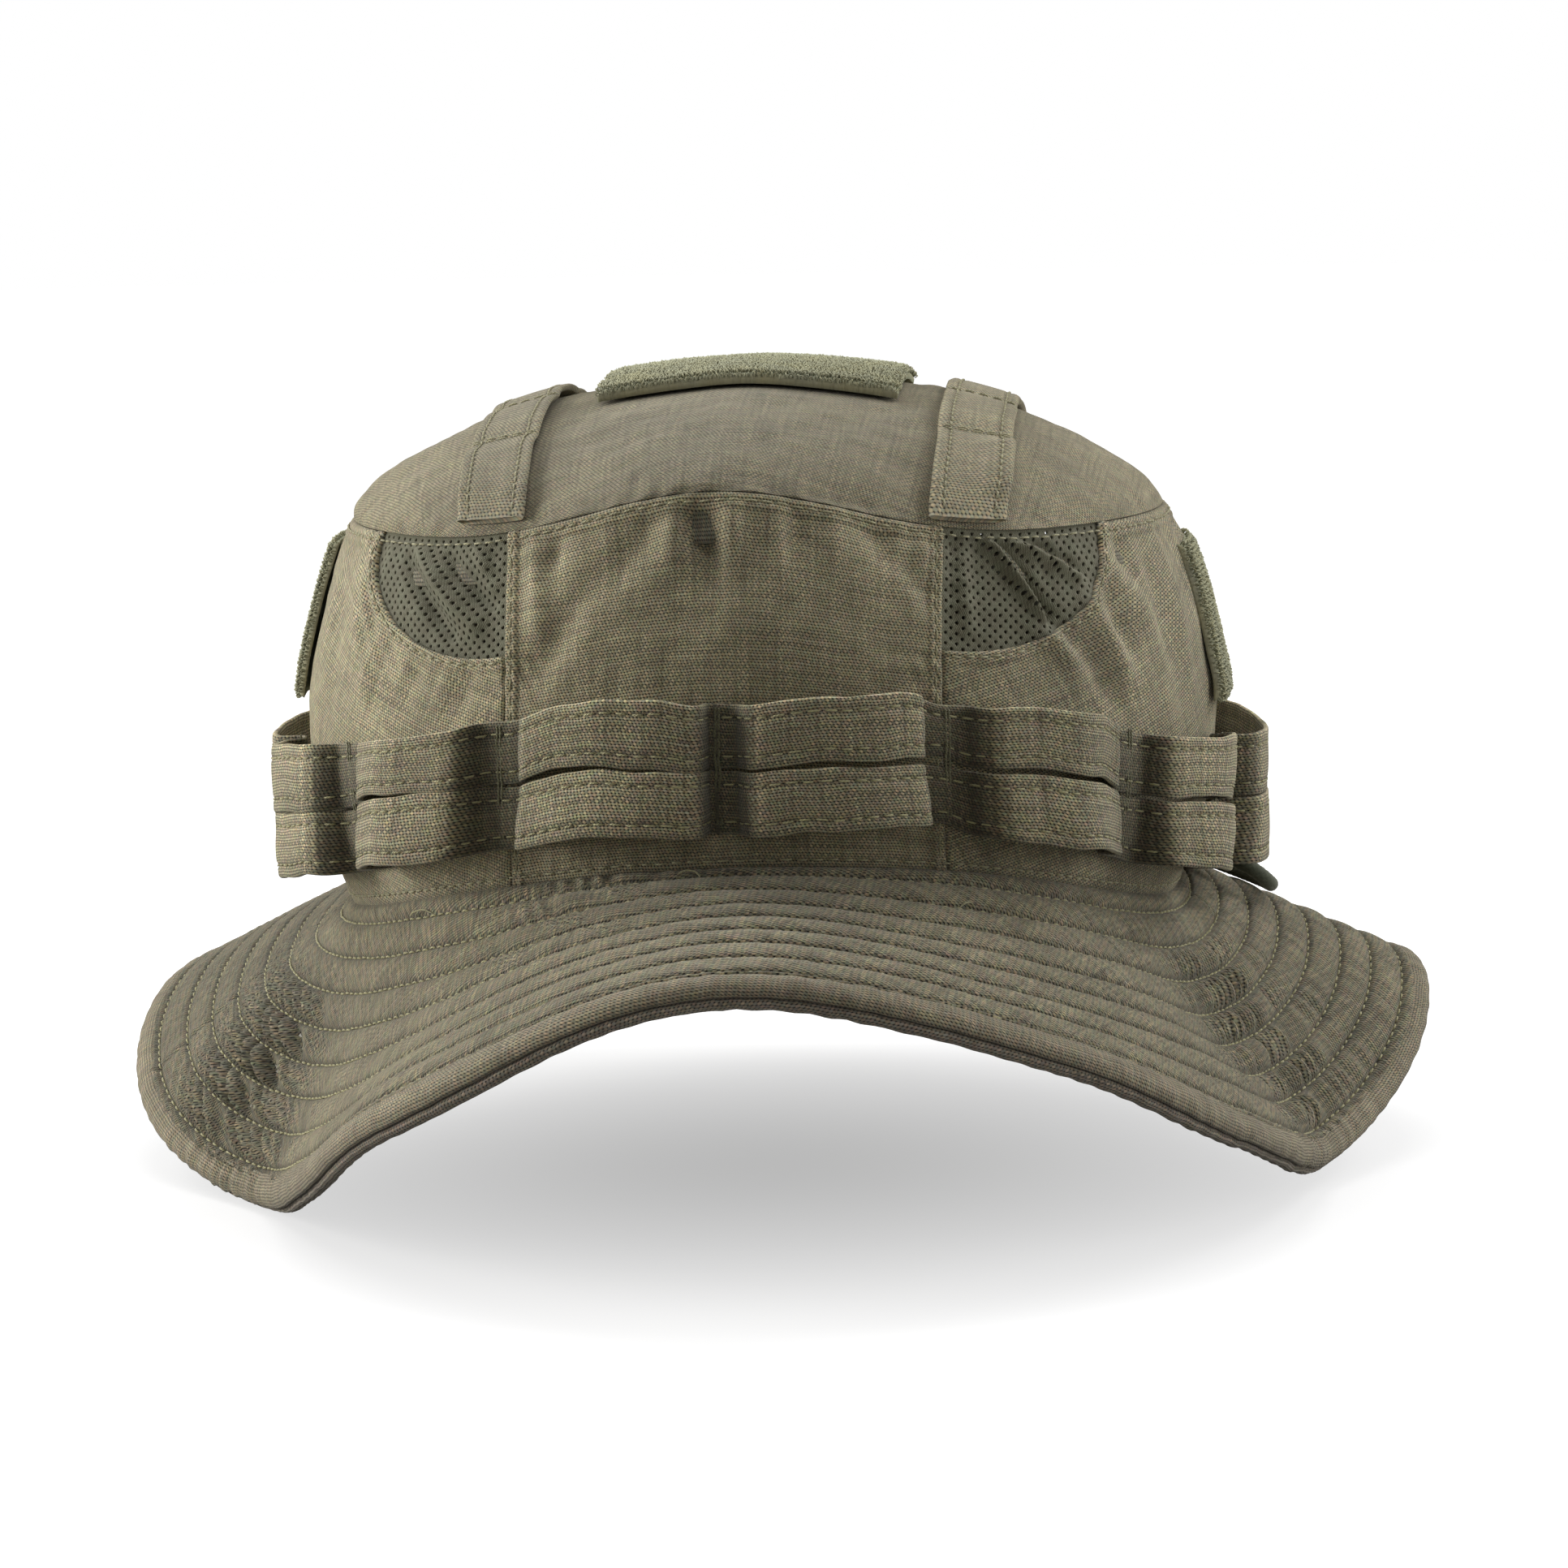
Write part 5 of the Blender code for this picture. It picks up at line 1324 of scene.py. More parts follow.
low_ob, l1, low_strip = band("foliage_strip_lower", BAND_LOW, BAND_SPLIT - 0.006, "foliage_band_lower", 700)
up_ob, l2, up_strip = band("foliage_strip_upper", BAND_SPLIT, BAND_TOP, "foliage_band_upper", 730)
stitches("foliage_stitching", l1 + l2, thread_mat, pitch=3.15, length=2.2, dia=0.36, seed=760, high=0.02)
tl = []
for k, tack in enumerate(TACKS):
    for dx, dv in ((-0.45, 0.0), (0.35, 0.008)):
        vv = np.linspace(BAND_LOW + 0.01 + dv, BAND_TOP - 0.01, 90)
        u_ = tack + (dx + 0.22 * n1(vv * WALL, 3.0, 770 + k)) / DEG_MM
        v_ = vv + rise(np.full_like(vv, tack))
        a, b = wall_out(u_, v_, 2.02), wall_out(u_, v_, 3.02)
        f_ = (vv - BAND_LOW) / (BAND_TOP - BAND_LOW)
        for e in (a, b):
            e[..., 2] += sag(u_, 4) * (1 - f_) + sag(u_, 1) * f_
        tl.append((a, unit(b - a)))
stitches("foliage_tacks", tl, thread_dark, pitch=1.5, length=2.0, dia=0.42, seed=780, sink=0.2, high=0.06)

# ---------------------------------------------------------------- brim
us = np.arange(-180.0, 180.0, 0.42)
NU = len(us)
x_in = np.array([0, .035, .08, .14, .24, .36, .50, .64, .76, .86, .92, .965])
rows = np.stack([row_s(us, k) for k in range(ROWS)], -1)
cols = [np.linspace(-0.6, 1, 7)[None, :-1] * (rows[:, :1] * 0 + 1) * 1.0]
first = -0.6 + (rows[:, :1] + 0.6) * np.linspace(0, 1, 8)[None, :-1]
grid_s = [first]
for k in range(ROWS - 1):
    grid_s.append(rows[:, k:k + 1] + (rows[:, k + 1:k + 2] - rows[:, k:k + 1]) * x_in[None])
last = rows[:, -1:]
grid_s.append(last + (57.0 - last) * np.array([0, .12, .3, .6, 1.0])[None])
s = np.concatenate(grid_s, 1)
u = np.broadcast_to(us[:, None], s.shape)


def groove(u, s, depth=0.52, width=0.48):
    g = 0.0
    for k in range(ROWS):
        g = g - depth * np.exp(-((s - row_s(u, k)) / width) ** 2)
    return g


def flat_plan(u, s):
    """Where a point of the brim lies in its flat pattern."""
    phi = R(u)
    nx, ny = np.cos(phi) / HEAD_HALF_WIDTH, np.sin(phi) / HEAD_HALF_LENGTH
    k = np.hypot(nx, ny)
    return np.stack([HEAD_HALF_WIDTH * np.cos(phi) + nx * s / k, HEAD_HALF_LENGTH * np.sin(phi) + ny * s / k], -1)


def brim_shade(u, s):
    P = brim_raw(u, s)
    brim_disp(u, s)   # leaves how deep each point lies between the rows and the puckers
    # painted shade: darker between the rows, in the valleys of the puckers, along the stitch grooves and the radial
    # seams; the fbm and n1 noise are the cloth's own tone
    sh = 0.54 + 0.52 * brim_disp.hollow + 0.08 * fbm(P, 24, 811) + 0.20 * groove(u, s, 0.55, 0.55)
    x = wrap(u)
    for c in (0.0, -180.0):
        sh = sh - 0.14 * np.exp(-((x - c) * DEG_MM / 0.6) ** 2)
    # the sides of the brim are darkened as painted shade, the left wing more than the right
    sh = sh * (1 - 0.26 * window(-215, -196, -158, -140, x) * smooth(6, 20, s) - 0.14 * window(-36, -24, 14, 34, x) * smooth(6, 20, s))
    sh = sh + 0.10 * n1(x * DEG_MM + 31.0 * s, 9.0, 815)
    # painted shade: darker at the foot of the brim, under the crown
    return sh - 0.35 * np.exp(-((s - 0.3) / 1.0) ** 2)


P = brim(u, s, groove(u, s))
Q = brim(u, s, -0.95, soft=0.25)
top_b = solid("brim_top_cloth", P, Q, turn(flat_plan(u, s), 18.0), brim_cloth, ring=True, flip=True,
              attrs={"shade": brim_shade(u, s)})
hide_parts("brim_top_front", "brim_top_back")

# underside: the same rows show as shallow quilting
su = np.concatenate([np.linspace(-0.4, 4, 4)[:-1]] + [4 + 7.25 * k + 7.25 * np.array([0, .06, .2, .5, .8, .94]) for k in range(7)]
                    + [np.array([54.75, 56.6])])
uu2, ss2 = np.meshgrid(np.arange(-180.0, 180.0, 0.8), su, indexing="ij")
hump = np.abs(np.sin(PI * np.clip((ss2 - 4.0) / 7.25, 0, 7)))
P = brim(uu2, ss2, -3.15 - 0.35 * hump + 0.25 * np.exp(-(((ss2 - 4 + 3.6) % 7.25 - 3.6) / 0.5) ** 2), soft=0.25)
Q = brim(uu2, ss2, -2.45, soft=0.25)
# painted shade: the underside is darker along the quilting grooves; the fbm is its own tone
sh_u = 0.95 + 0.07 * fbm(brim_raw(uu2, ss2), 22, 821) - 0.2 * np.exp(-(((ss2 - 4 + 3.6) % 7.25 - 3.6) / 0.5) ** 2)
und = solid("brim_underside_cloth", P, Q, turn(flat_plan(uu2, ss2), -12.0), under_cloth, ring=True, flip=False,
            attrs={"shade": sh_u})
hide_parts("brim_underside_front", "brim_underside_back")

M_ = Mat("felt_interlining", rough=0.95, sheen=0.3)
fn = M_.noise(M_.vec(M_.mul(M_.x, 1.2), M_.mul(M_.y, 1.2)), 1.0, 4.0, 0.7)
M_.colour(M_.mix(fn, (0.24, 0.23, 0.20), (0.36, 0.35, 0.31)))
M_.rough(M_.mad(fn, 0.1, 0.88))
M_.normal(M_.bump(fn, 0.0002, 0.8))
uc, sc = np.meshgrid(np.arange(-180.0, 180.0, 2.0), np.linspace(0.8, 55.5, 24), indexing="ij")
core = solid("brim_core_felt", brim(uc, sc, -1.15, soft=0.25), brim(uc, sc, -2.15, soft=0.25), flat_plan(uc, sc), M_.m,
             ring=True, flip=True, attrs={"shade": np.ones_like(uc)})
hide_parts("brim_interlining")

# rolled edge: the cloth turns over the edge, with a seam along the middle of its face
sec = np.array([(55.6, -1.0), (55.9, -0.15), (56.5, .18), (57.4, .34), (58.5, .32), (59.6, .12), (60.6, -.38), (61.3, -1.05),
                (61.75, -1.8), (61.85, -2.35), (61.55, -2.72), (61.15, -2.92), (61.50, -3.10), (61.95, -3.35),
                (62.05, -3.9), (61.75, -4.7), (61.1, -5.35), (60.1, -5.75), (58.8, -5.85), (57.6, -5.5), (56.5, -4.9),
                (55.8, -4.0), (55.5, -2.6)])
us3 = np.arange(-180.0, 180.0, 0.5)
uu3 = np.broadcast_to(us3[:, None], (len(us3), len(sec)))
ss3, oo3 = np.broadcast_to(sec[:, 0], uu3.shape), np.broadcast_to(sec[:, 1], uu3.shape)
x3 = wrap(uu3)
ang = np.arctan2(oo3 + 2.8, ss3 - 58.8)
arc3 = x3 * DEG_MM * 1.33
thick = 1 + 0.10 * n1(arc3, 26.0, 831)
twist = 0.16 * np.sin(2 * PI * (arc3 / 5.2 + 0.35 * ang) + 3 * n1(arc3, 12.0, 832)) * (0.25 + 0.75 * np.abs(n1(arc3, 21.0, 833)))
twist = twist + 0.30 * np.exp(-((x3 + 163) / 9) ** 2) * np.sin(2 * PI * arc3 / 3.9) * (ang > -0.1) \
    + 0.26 * np.exp(-((x3 + 18) / 9) ** 2) * np.sin(2 * PI * arc3 / 3.8) * (ang > -0.1)
so = 58.8 + (ss3 - 58.8) * thick + twist * np.cos(ang) * (ss3 > 56)
offo = -2.8 + (oo3 + 2.8) * thick + twist * np.sin(ang) * (ss3 > 56)
base_wave = brim_disp(uu3, np.full_like(uu3, 57.0)) * 0.6
P = brim_raw(uu3, so) + brim.normal(uu3, so) * (offo + base_wave * 0.8)[..., None]
# painted highlight on the upper curve of the roll; darker along the seam groove in the middle of its face; the noise is
# its own tone
sh3 = 1.0 + 0.07 * n1(arc3, 20.0, 835) - 0.50 * np.exp(-(((oo3 + 2.92) / 0.32) ** 2)) * (ss3 > 60) + 0.12 * np.exp(-((ang - 1.0) / 0.35) ** 2)
sec_len = np.concatenate([[0], np.cumsum(np.linalg.norm(np.diff(sec, axis=0), axis=1))])
uv3 = np.stack([arc3, np.broadcast_to(sec_len, uu3.shape)], -1)
low_face = oo3 < -2.95
n_, m_ = uu3.shape
Fq = quads(n_, m_, True, True, 0, True)
edge_ob = build("brim_edge_cloth", P.reshape(-1, 3), [Fq], roll_cloth, uv3.reshape(-1, 2), {"shade": sh3})
edge_ob.data.materials.append(under_cloth)
jj = np.arange(m_)
lip = np.isin(Fq.min(1) % m_, jj[(sec[:, 1] < -2.9)]) & np.isin(Fq.max(1) % m_, jj[(sec[:, 1] < -2.5)])
edge_ob.data.polygons.foreach_set("material_index", lip.astype(np.int32))
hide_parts("brim_edge_roll")

lt, lu = [], []
for k in range(ROWS):
    uf = np.arange(-180.0, 180.01, 0.3)
    sr = row_s(uf, k)
    lt.append(on(brim, uf, sr, -0.30))
    a = brim(uf[::2], sr[::2], -3.30, soft=0.25)
    lu.append((a, -brim.normal(uf[::2], sr[::2])))
stitches("brim_stitching", lt, thread_mat, pitch=2.75, length=1.95, dia=0.42, seed=850, high=0.22)
stitches("brim_underside_stitching", lu, thread_mat, pitch=3.1, length=2.0, dia=0.42, seed=880, high=0.05)
# ---------------------------------------------------------------- inside of the hat
ui = np.arange(-180.0, 180.0, 1.0)


def inner(name, v_list, out, into, mat, node, seed):
    v_list = np.asarray(v_list)
    u, v = np.meshgrid(ui, v_list, indexing="ij")
    f = (v - v_list[0]) / (v_list[-1] - v_list[0])
    puff = 0.25 * noise(wall_raw(u, v), 9, seed) * np.sin(PI * f) + 0.18 * np.cos(2 * PI * u * DEG_MM / 4.6) * np.exp(-((f - 1) / .12) ** 2)
    P, Q = wall(u, v, out, soft=0.0), wall(u, v, into - puff, soft=0.0)
    # painted shade: darker along the two stitch lines; the noise is the cloth's own tone
    sh = 0.95 + 0.08 * noise(wall_raw(u, v), 14, seed + 1) - 0.2 * np.exp(-((f - 0.07) / 0.05) ** 2) - 0.2 * np.exp(-((f - 0.93) / 0.05) ** 2)
    ob = solid(name, P, Q, np.stack([u * DEG_MM, v * 84], -1), mat, ring=True, attrs={"shade": sh})
    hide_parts(node)
    ls = []
    for ff in (0.07, 0.93):
        uf = np.arange(-180.0, 180.01, 0.5)
        vf = v_list[0] + (v_list[-1] - v_list[0]) * ff
        ls.append((wall(uf, vf, into - 0.05, soft=0.0), -wall.normal(uf, np.full_like(uf, vf))))
    return ls


li_ = inner("sweatband_cloth", np.linspace(0.006, 0.45, 26), -1.55, -2.95, sweat_cloth, "sweatband", 900)
li_ += inner("foot_tape_cloth", np.linspace(-0.035, 0.10, 9), -3.35, -4.05, tape_cloth, "foot_seam_tape", 910)
li_ += inner("tip_tape_cloth", np.linspace(0.875, 0.985, 8), -1.5, -2.1, tape_cloth, "tip_seam_tape", 920)
stitches("inside_stitching", li_, thread_mat, pitch=3.4, length=2.3, dia=0.42, seed=930)

# ---------------------------------------------------------------- chin cord, its lock and its knot
slope = float(droop(90.0))
FOOT = np.array([0.0, HEAD_HALF_LENGTH, SADDLE])
T_ = np.array([0.0, math.cos(slope), -math.sin(slope)])
N_ = np.array([0.0, math.sin(slope), math.cos(slope)])
X_ = np.array([1.0, 0.0, 0.0])


def tail(t, x=0.0, lift=TAIL_LIFT):
    return FOOT + T_ * t + N_ * lift + X_ * x


def catmull(pts, step):
    p = [2 * pts[0] - pts[1]] + list(pts) + [2 * pts[-1] - pts[-2]]
    fine = []
    for i in range(1, len(p) - 2):
        a, b, c, d = p[i - 1], p[i], p[i + 1], p[i + 2]
        for k in range(24):
            t = k / 24
            fine.append(0.5 * (2 * b + (c - a) * t + (2 * a - 5 * b + 4 * c - d) * t * t
                               + (3 * b - a - 3 * c + d) * t ** 3))
    fine.append(p[-2])
    fine = np.array(fine)
    run = np.concatenate([[0.0], np.cumsum(np.linalg.norm(np.diff(fine, axis=0), axis=1))])
    n = int(round(run[-1] / step)) + 1
    want = np.linspace(0.0, run[-1], n)
    return np.stack([np.interp(want, run, fine[:, i]) for i in range(3)], axis=1), run[-1]


def cord_route(side):
    def m(u):
        return u if side > 0 else 180.0 - u

    def W(u, v, o):
        return wall(np.array([m(u)]), np.array([v]), o, soft=0.0)[0]

    def B(u, s, o):
        return brim(np.array([m(u)]), np.array([s]), o, soft=0.0)[0]
    if side > 0:
        pts = [W(13.0, .04, 0.35), W(13.0, .04, 3.0), B(12.0, 9.0, 6.4), B(11.4, 16.0, 6.8), B(13.2, 22.0, 4.6), B(17.6, 23.2, 2.7), B(21.8, 20.4, 2.4)]
    else:
        pts = [W(13.0, .04, 0.35), W(13.0, .04, 3.0), B(14.2, 7.5, 3.8), B(17.6, 11.0, 2.7), B(21.5, 14.0, 2.4)]
    for u in (25, 31, 38, 46, 54, 61):
        pts.append(B(float(u), CORD_LIE, 2.35))
    pts += [B(67.0, CORD_LIE, 3.6), B(73.0, CORD_LIE, 5.4)]
    x0, r = side * STRAND_PITCH / 2, 13.0
    for a in (0, 30, 60, 90):
        pts.append(tail(TAIL_START - r + r * (1 - math.cos(R(a))), x0 + side * r * (1 - math.sin(R(a)))))
    for t in (TAIL_START + 9, TAIL_START + 24, TAIL_START + 36, TAIL_END):
        pts.append(tail(t, x0))
    return pts


def braided(name, path, mat, radius=1.5, around=32, closed=False, lobes=4, body="hat"):
    """Braided cord: strands wind both ways round the path and cross over and under."""
    n = len(path)
    t = np.gradient(path, axis=0)
    t = unit(t)
    up = np.array([0.0, 0.0, 1.0]) if abs(t[0][2]) < 0.8 else np.array([1.0, 0.0, 0.0])
    nrm = np.zeros_like(path)
    a = unit(np.cross(np.cross(t[0], up), t[0]))
    for i in range(n):
        a = unit(a - t[i] * (a @ t[i]))
        nrm[i] = a
    bi = np.cross(t, nrm)
    run = np.concatenate([[0.0], np.cumsum(np.linalg.norm(np.diff(path, axis=0), axis=1))])
    th = np.arange(around) * 2 * PI / around
    TH, RN = np.meshgrid(th, run, indexing="xy")
    A = np.cos(lobes * TH + RN * PI / 1.55)
    B = np.cos(lobes * TH - RN * PI / 1.55)
    C = np.clip(A * B * 2.5, -1, 1)
    H = np.abs(A) ** 0.6 * (0.55 + 0.45 * C) + np.abs(B) ** 0.6 * (0.55 - 0.45 * C)
    rad = radius * (0.90 + 0.12 * H)
    rad = rad * (0.25 + 0.75 * smooth(0, 0.9, np.minimum(RN, run[-1] - RN) + 0.25)) if not closed else rad
    P = path[:, None] + (nrm[:, None] * np.cos(TH)[..., None] + bi[:, None] * np.sin(TH)[..., None]) * rad[..., None]
    V = np.concatenate([P.reshape(-1, 3), path[:1], path[-1:]])
    F = [quads(n, around, False, True, 0, True)]
    r0, r1 = np.arange(around), (n - 1) * around + np.arange(around)
    F.append(np.stack([np.full(around, n * around), r0, np.roll(r0, -1)], -1))
    F.append(np.stack([np.full(around, n * around + 1), np.roll(r1, -1), r1], -1))
    uv = np.concatenate([np.stack([RN, TH * radius], -1).reshape(-1, 2), [[0, 0], [run[-1], 0]]])
    # painted shade: darker in the grooves between the strands, lighter on their crowns
    sh = np.concatenate([(0.45 + 0.62 * H).ravel(), [0.6, 0.6]])
    return build(name, V, F, mat, uv, {"shade": sh}, body)


for side, nm in ((1, "right"), (-1, "left")):
    route = cord_route(side)
    pts, length = catmull(route, 0.42)
    ob = braided("cord_braid_" + nm, pts, cord_mat)
    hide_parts("chin_cord_" + nm)
    path, _ = catmull(route, 6.8)

# overhand knot that ties both ends, with two short sealed tails
kc = tail(TAIL_END + 0.35 + 4.6)
tt = np.linspace(0, 2 * PI, 220)
KX = (2 + np.cos(3 * tt)) * np.cos(2 * tt) * 1.22
KY = (2 + np.cos(3 * tt)) * np.sin(2 * tt) * 1.02
KZ = np.sin(3 * tt) * 2.25
kp = kc + KX[:, None] * X_ + KY[:, None] * T_ + KZ[:, None] * N_
knot = braided("cord_knot_braid", kp, cord_mat, radius=1.5, around=24)
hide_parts("cord_end_knot")
for side, nm in ((1, "right"), (-1, "left")):
    c = [kc + X_ * side * 1.6 + T_ * 1.5, kc + X_ * side * 2.4 + T_ * 4.5 - N_ * 0.3, kc + X_ * side * 3.4 + T_ * 8.2 - N_ * 1.2]
    tp, _ = catmull(c, 0.42)
    braided("cord_tip_" + nm, tp, cord_mat, radius=1.4, around=24)

lock = Matrix((Vector(X_), Vector(T_), Vector(N_))).transposed().to_4x4()
lock.translation = Vector(tail(LOCK_AT)) * MM
black = plastic("plastic_black", (0.020, 0.021, 0.020))
for node, mat in (("cord_lock_body", black), ("cord_lock_button", plastic("plastic_button", (0.024, 0.024, 0.023))),
                  ("cord_lock_spring", steel("steel_spring"))):
    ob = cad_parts[node]
    for slot in ob.material_slots:
        slot.material = mat
    if not ob.material_slots:
        ob.data.materials.append(mat)


def local(p):
    """Points in the lock's own frame (mm) to the hat's frame (mm)."""
    m = np.array(lock)[:3, :3]
    return np.asarray(p) @ m.T + np.array(tail(LOCK_AT))


def torus_ring(centre_x, radius, tube, n=64, m=10, squash=1.0):
    a, b = np.meshgrid(np.arange(n) * 2 * PI / n, np.arange(m) * 2 * PI / m, indexing="ij")
    r = radius + tube * np.cos(b)
    return np.stack([centre_x + tube * np.sin(b) * squash, r * np.cos(a), r * np.sin(a)], -1)


turns = np.linspace(0, 4, 4 * 40)
wire = np.stack([-10.1 + 4.0 * turns / 4, 2.6 * np.cos(2 * PI * turns), 2.6 * np.sin(2 * PI * turns)], -1)
wire = local(wire)
spring = braided("cord_lock_spring_wire", wire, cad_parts["cord_lock_spring"].data.materials[0], radius=0.31, around=10, lobes=1, body="cord_lock")
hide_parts("cord_lock_spring")
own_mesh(spring)
V, F, n0 = [], [], 0
for cx, rr, tb in ((15.9, 2.2, 0.32), (16.0, 3.4, 0.32), (15.6, 4.5, 0.30), (14.6, 5.25, 0.22)):
    g = torus_ring(cx, rr, tb)
    V.append(local(g.reshape(-1, 3)))
    F.append(quads(64, 10, True, True, n0))
    n0 += 640
build("cord_lock_button_ribs", np.concatenate(V), [np.concatenate(F)], black,
      np.zeros((n0, 2)), {"shade": np.ones(n0)}, body="cord_lock_plunger")
V, F, n0 = [], [], 0
for cx in (-10.5, -8.6, -6.7, 4.4, 6.3):
    a = np.linspace(0, 1, 60, endpoint=False)
    # rounded rectangle round the body, proud by a third of a millimetre
    hy, hz, rc = 7.12, 5.62, 2.5
    ang = a * 2 * PI
    px = np.clip(np.cos(ang) * 20, -(hy - rc), hy - rc)
    pz = np.clip(np.sin(ang) * 20, -(hz - rc), hz - rc)
    px, pz = px + rc * np.cos(ang), pz + rc * np.sin(ang)
    mid = np.stack([np.full(60, cx), px, pz], -1)
    outw = np.stack([np.zeros(60), np.cos(ang), np.sin(ang)], -1)
    b = np.arange(8) * 2 * PI / 8
    g = mid[:, None] + outw[:, None] * (0.34 * np.cos(b))[None, :, None] + np.array([1.0, 0, 0])[None, None] * (0.42 * np.sin(b))[None, :, None]
    keep_slot = None
    V.append(local(g.reshape(-1, 3)))
    F.append(quads(60, 8, True, True, n0))
    n0 += 480
build("cord_lock_grip_ribs", np.concatenate(V), [np.concatenate(F)], black,
      np.zeros((n0, 2)), {"shade": np.ones(n0)}, body="cord_lock")

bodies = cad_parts

# a few loose thread ends
for k, (uq, sq, ln) in enumerate(((-133.0, 3.6, 7.0), (-92.5, 4.4, 4.0), (-61.0, 11.0, 3.5), (150.0, 4.2, 6.0), (33.0, 18.0, 4.0))):
    p0 = brim(np.array([uq]), np.array([sq]), 0.1)[0]
    nn = brim.normal(np.array([uq]), np.array([sq]))[0]
    tg = unit(np.cross(nn, np.array([0.3, 0.2, 1.0])))
    cc = np.array([p0, p0 + tg * ln * .3 + nn * .8, p0 + tg * ln * .7 + nn * 1.0 + np.cross(nn, tg) * .9, p0 + tg * ln + nn * .35 + np.cross(nn, tg) * 1.8])
    tp, _ = catmull(list(cc), 0.35)
    braided("thread_end_%d" % k, tp, thread_mat, radius=0.17, around=6, lobes=1)

# ---------------------------------------------------------------- floor, light and camera
new_lo, new_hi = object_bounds()
floor_z = new_lo[2] - 0.0004
bpy.ops.mesh.primitive_circle_add(vertices=96, radius=6.0, fill_type="NGON", location=(0, 0, floor_z))
floor = bpy.context.object
floor.name = "floor"
fm = bpy.data.materials.new("floor_paper")
fm.use_nodes = True
ft = fm.node_tree
fb = ft.nodes["Principled BSDF"]
fb.inputs["Base Color"].default_value = (0.30, 0.30, 0.30, 1.0)
fb.inputs["Roughness"].default_value = 0.9
fb.inputs["Specular IOR Level"].default_value = 0.1
# the paper's white, seen but casting no light: it glows dimmer toward the middle as a painted shadow under the hat, and
# rises to full white toward the horizon
fe = ft.nodes.new("ShaderNodeEmission")
fe.inputs[0].default_value = (1.0, 1.0, 1.0, 1.0)
pos = ft.nodes.new("ShaderNodeNewGeometry")
ln = ft.nodes.new("ShaderNodeVectorMath")
ln.operation = "LENGTH"
ft.links.new(pos.outputs["Position"], ln.inputs[0])
mr = ft.nodes.new("ShaderNodeMapRange")
for k_, v_ in enumerate((0.0, 0.10, 0.6, 0.82, 1.0)):
    if k_:
        mr.inputs[k_].default_value = v_
ft.links.new(ln.outputs["Value"], mr.inputs[0])
# painted shadow: the floor's glow is dimmed near the middle, under the hat
m2 = ft.nodes.new("ShaderNodeMapRange")
for k_, v_ in enumerate((0.0, 0.02, 0.17, 0.45, 1.0)):
    if k_:
        m2.inputs[k_].default_value = v_
ft.links.new(ln.outputs["Value"], m2.inputs[0])
m3 = ft.nodes.new("ShaderNodeMath")
m3.operation = "MULTIPLY"
ft.links.new(mr.outputs[0], m3.inputs[0])
ft.links.new(m2.outputs[0], m3.inputs[1])
flp = ft.nodes.new("ShaderNodeLightPath")
fmul = ft.nodes.new("ShaderNodeMath")
fmul.operation = "MULTIPLY"
ft.links.new(m3.outputs[0], fmul.inputs[0])
ft.links.new(flp.outputs["Is Camera Ray"], fmul.inputs[1])
ft.links.new(fmul.outputs[0], fe.inputs[1])
fadd = ft.nodes.new("ShaderNodeAddShader")
ft.links.new(fb.outputs[0], fadd.inputs[0])
ft.links.new(fe.outputs[0], fadd.inputs[1])
ft.links.new(fadd.outputs[0], ft.nodes["Material Output"].inputs[0])
floor.data.materials.append(fm)
floor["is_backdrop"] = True

scene = bpy.context.scene
world = bpy.data.worlds.new("studio")
scene.world = world
world.use_nodes = True
wt = world.node_tree
wt.nodes["Background"].inputs[0].default_value = (1.0, 1.0, 1.0, 1.0)
wt.nodes["Background"].inputs[1].default_value = 0.075
seen = wt.nodes.new("ShaderNodeBackground")
seen.inputs[0].default_value = (1.0, 1.0, 1.0, 1.0)
seen.inputs[1].default_value = 1.0
lp = wt.nodes.new("ShaderNodeLightPath")
mx = wt.nodes.new("ShaderNodeMixShader")
wt.links.new(lp.outputs["Is Camera Ray"], mx.inputs[0])
wt.links.new(wt.nodes["Background"].outputs[0], mx.inputs[1])
wt.links.new(seen.outputs[0], mx.inputs[2])
wt.links.new(mx.outputs[0], wt.nodes["World Output"].inputs[0])


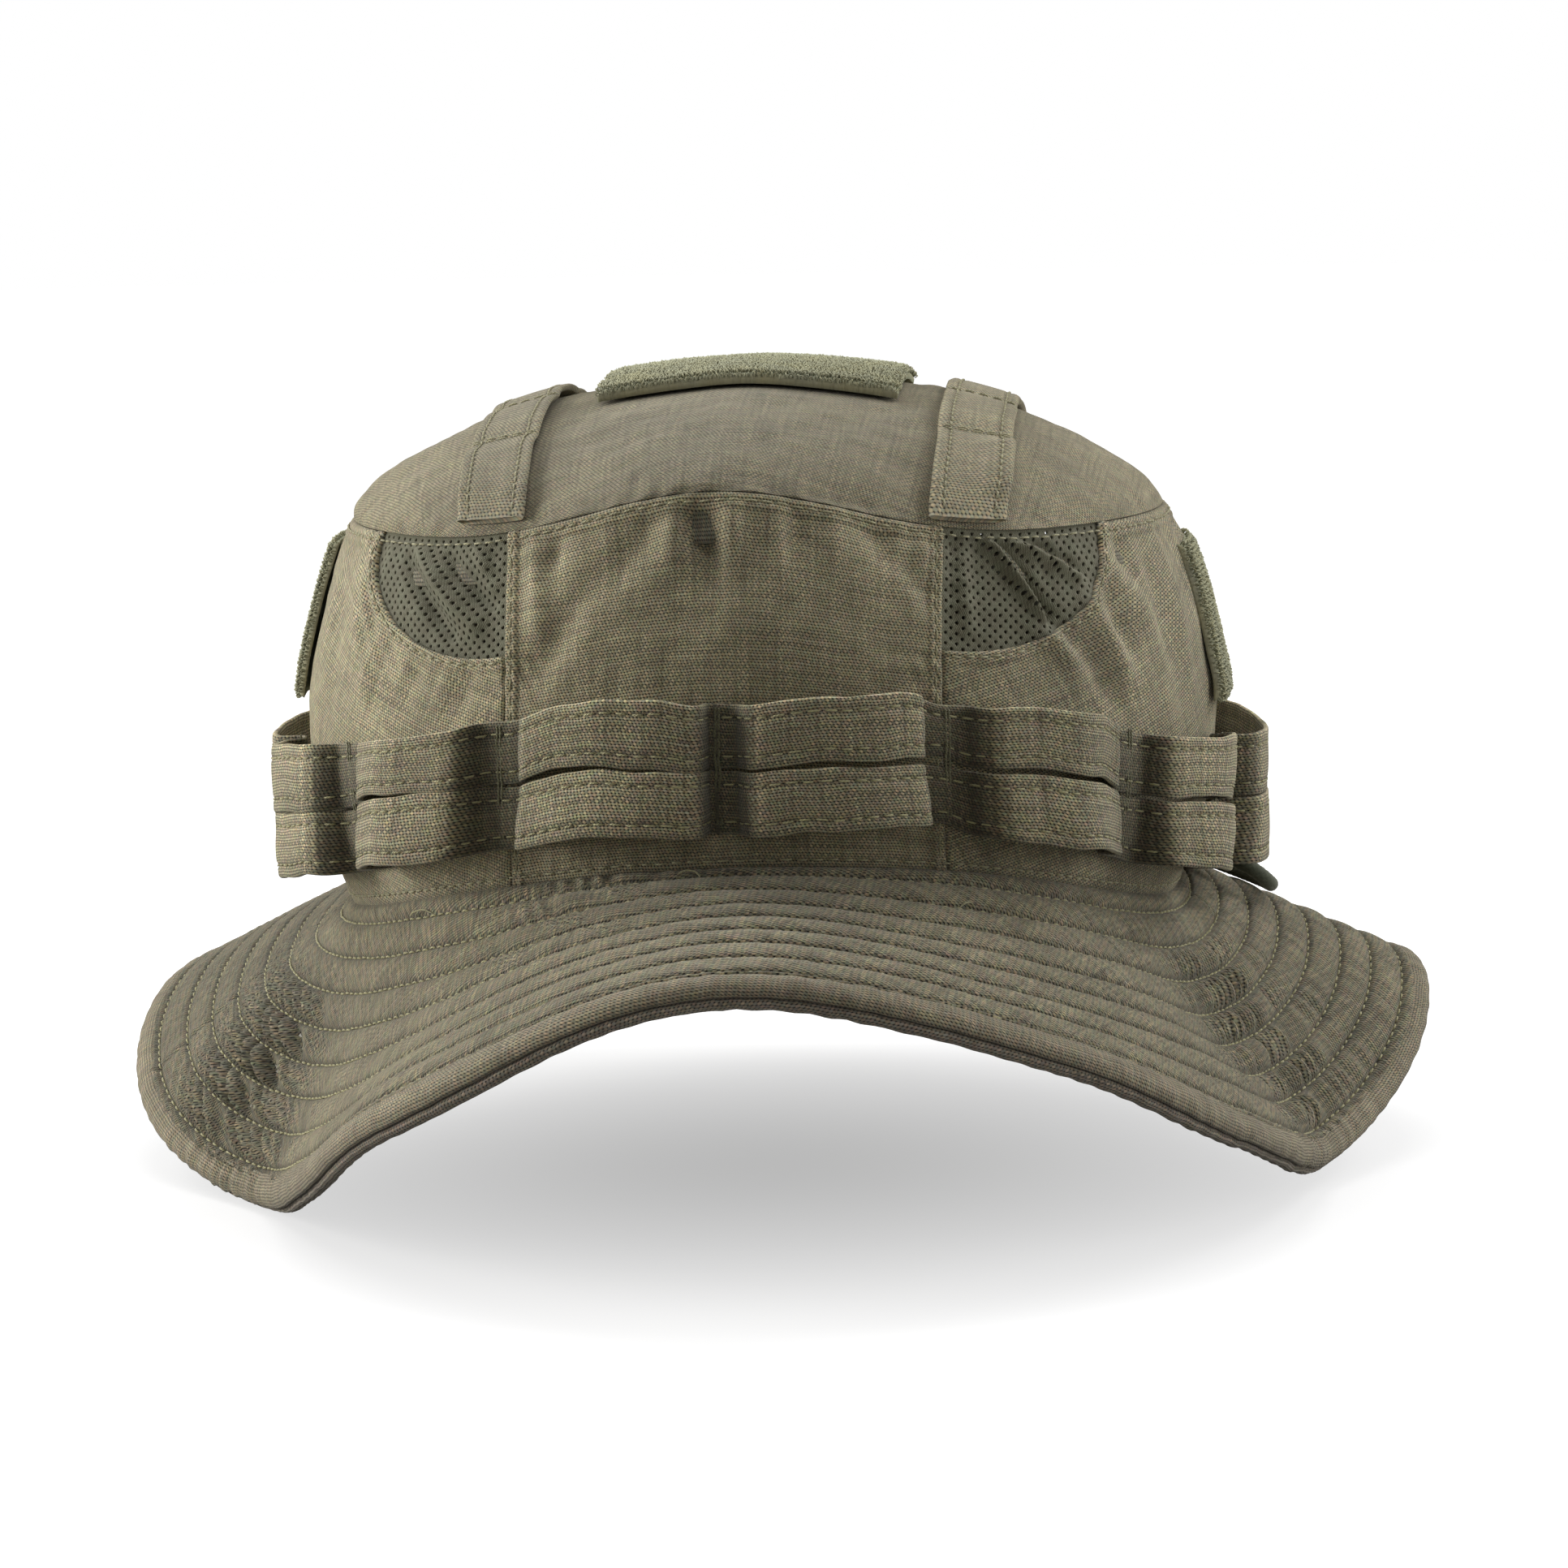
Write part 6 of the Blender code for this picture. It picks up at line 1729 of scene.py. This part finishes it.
def area(name, at, to, size, power, colour=(1, 1, 1)):
    d = bpy.data.lights.new(name, "AREA")
    d.shape, d.size, d.size_y = "RECTANGLE", size[0], size[1]
    d.energy, d.color = power, colour
    o = bpy.data.objects.new(name, d)
    o.location = at
    o.rotation_mode = "QUATERNION"
    o.rotation_quaternion = (Vector(to) - Vector(at)).to_track_quat("-Z", "Y")
    bpy.context.collection.objects.link(o)
    return o


area("softbox_left", (-1.4, -0.12, 0.28), (0, 0, 0.04), (0.8, 0.8), 22.5, (1.0, 0.99, 0.965))
area("softbox_left_back", (-0.95, 0.65, 0.9), (0, 0, 0.04), (0.7, 0.7), 8.0)
area("softbox_top", (0.0, 0.1, 1.5), (0, 0, 0.04), (0.9, 0.9), 9.5)
area("softbox_front", (0.15, -1.5, 0.6), (0, 0, 0.04), (0.8, 0.8), 2.6)
area("softbox_right", (1.4, -0.1, 0.28), (0, 0, 0.04), (0.8, 0.8), 9.0)
area("softbox_right_back", (1.0, 0.6, 0.9), (0, 0, 0.04), (0.7, 0.7), 10.0)

scene.view_settings.view_transform = "Standard"
scene.view_settings.look = "None"
scene.view_settings.exposure = 0.0
scene.view_settings.gamma = 1.0

cam_d = bpy.data.cameras.new("camera")
cam_d.sensor_width = 36.0
cam_d.lens = 6687.0 / 1932.0 * 36.0
cam = bpy.data.objects.new("camera", cam_d)
bpy.context.collection.objects.link(cam)
ca, ce, cr = R(4.2), R(7.1), R(-1.07)
back_v = np.array([math.sin(ca) * math.cos(ce), -math.cos(ca) * math.cos(ce), math.sin(ce)])
aim = np.array([3.9 * math.cos(ca), 3.9 * math.sin(ca), 20.5])
eye = aim + back_v * 1100.0
rgt = unit(np.cross(-back_v, [0, 0, 1]))
upv = np.cross(rgt, -back_v)
r2 = rgt * math.cos(cr) + upv * math.sin(cr)
u2 = -rgt * math.sin(cr) + upv * math.cos(cr)
mw = Matrix.Identity(4)
for i in range(3):
    mw[i][0], mw[i][1], mw[i][2], mw[i][3] = r2[i], u2[i], back_v[i], eye[i] * MM
cam.matrix_world = mw
cam_d.clip_start, cam_d.clip_end = 0.05, 60.0
scene.camera = cam

new_lo, new_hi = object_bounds()
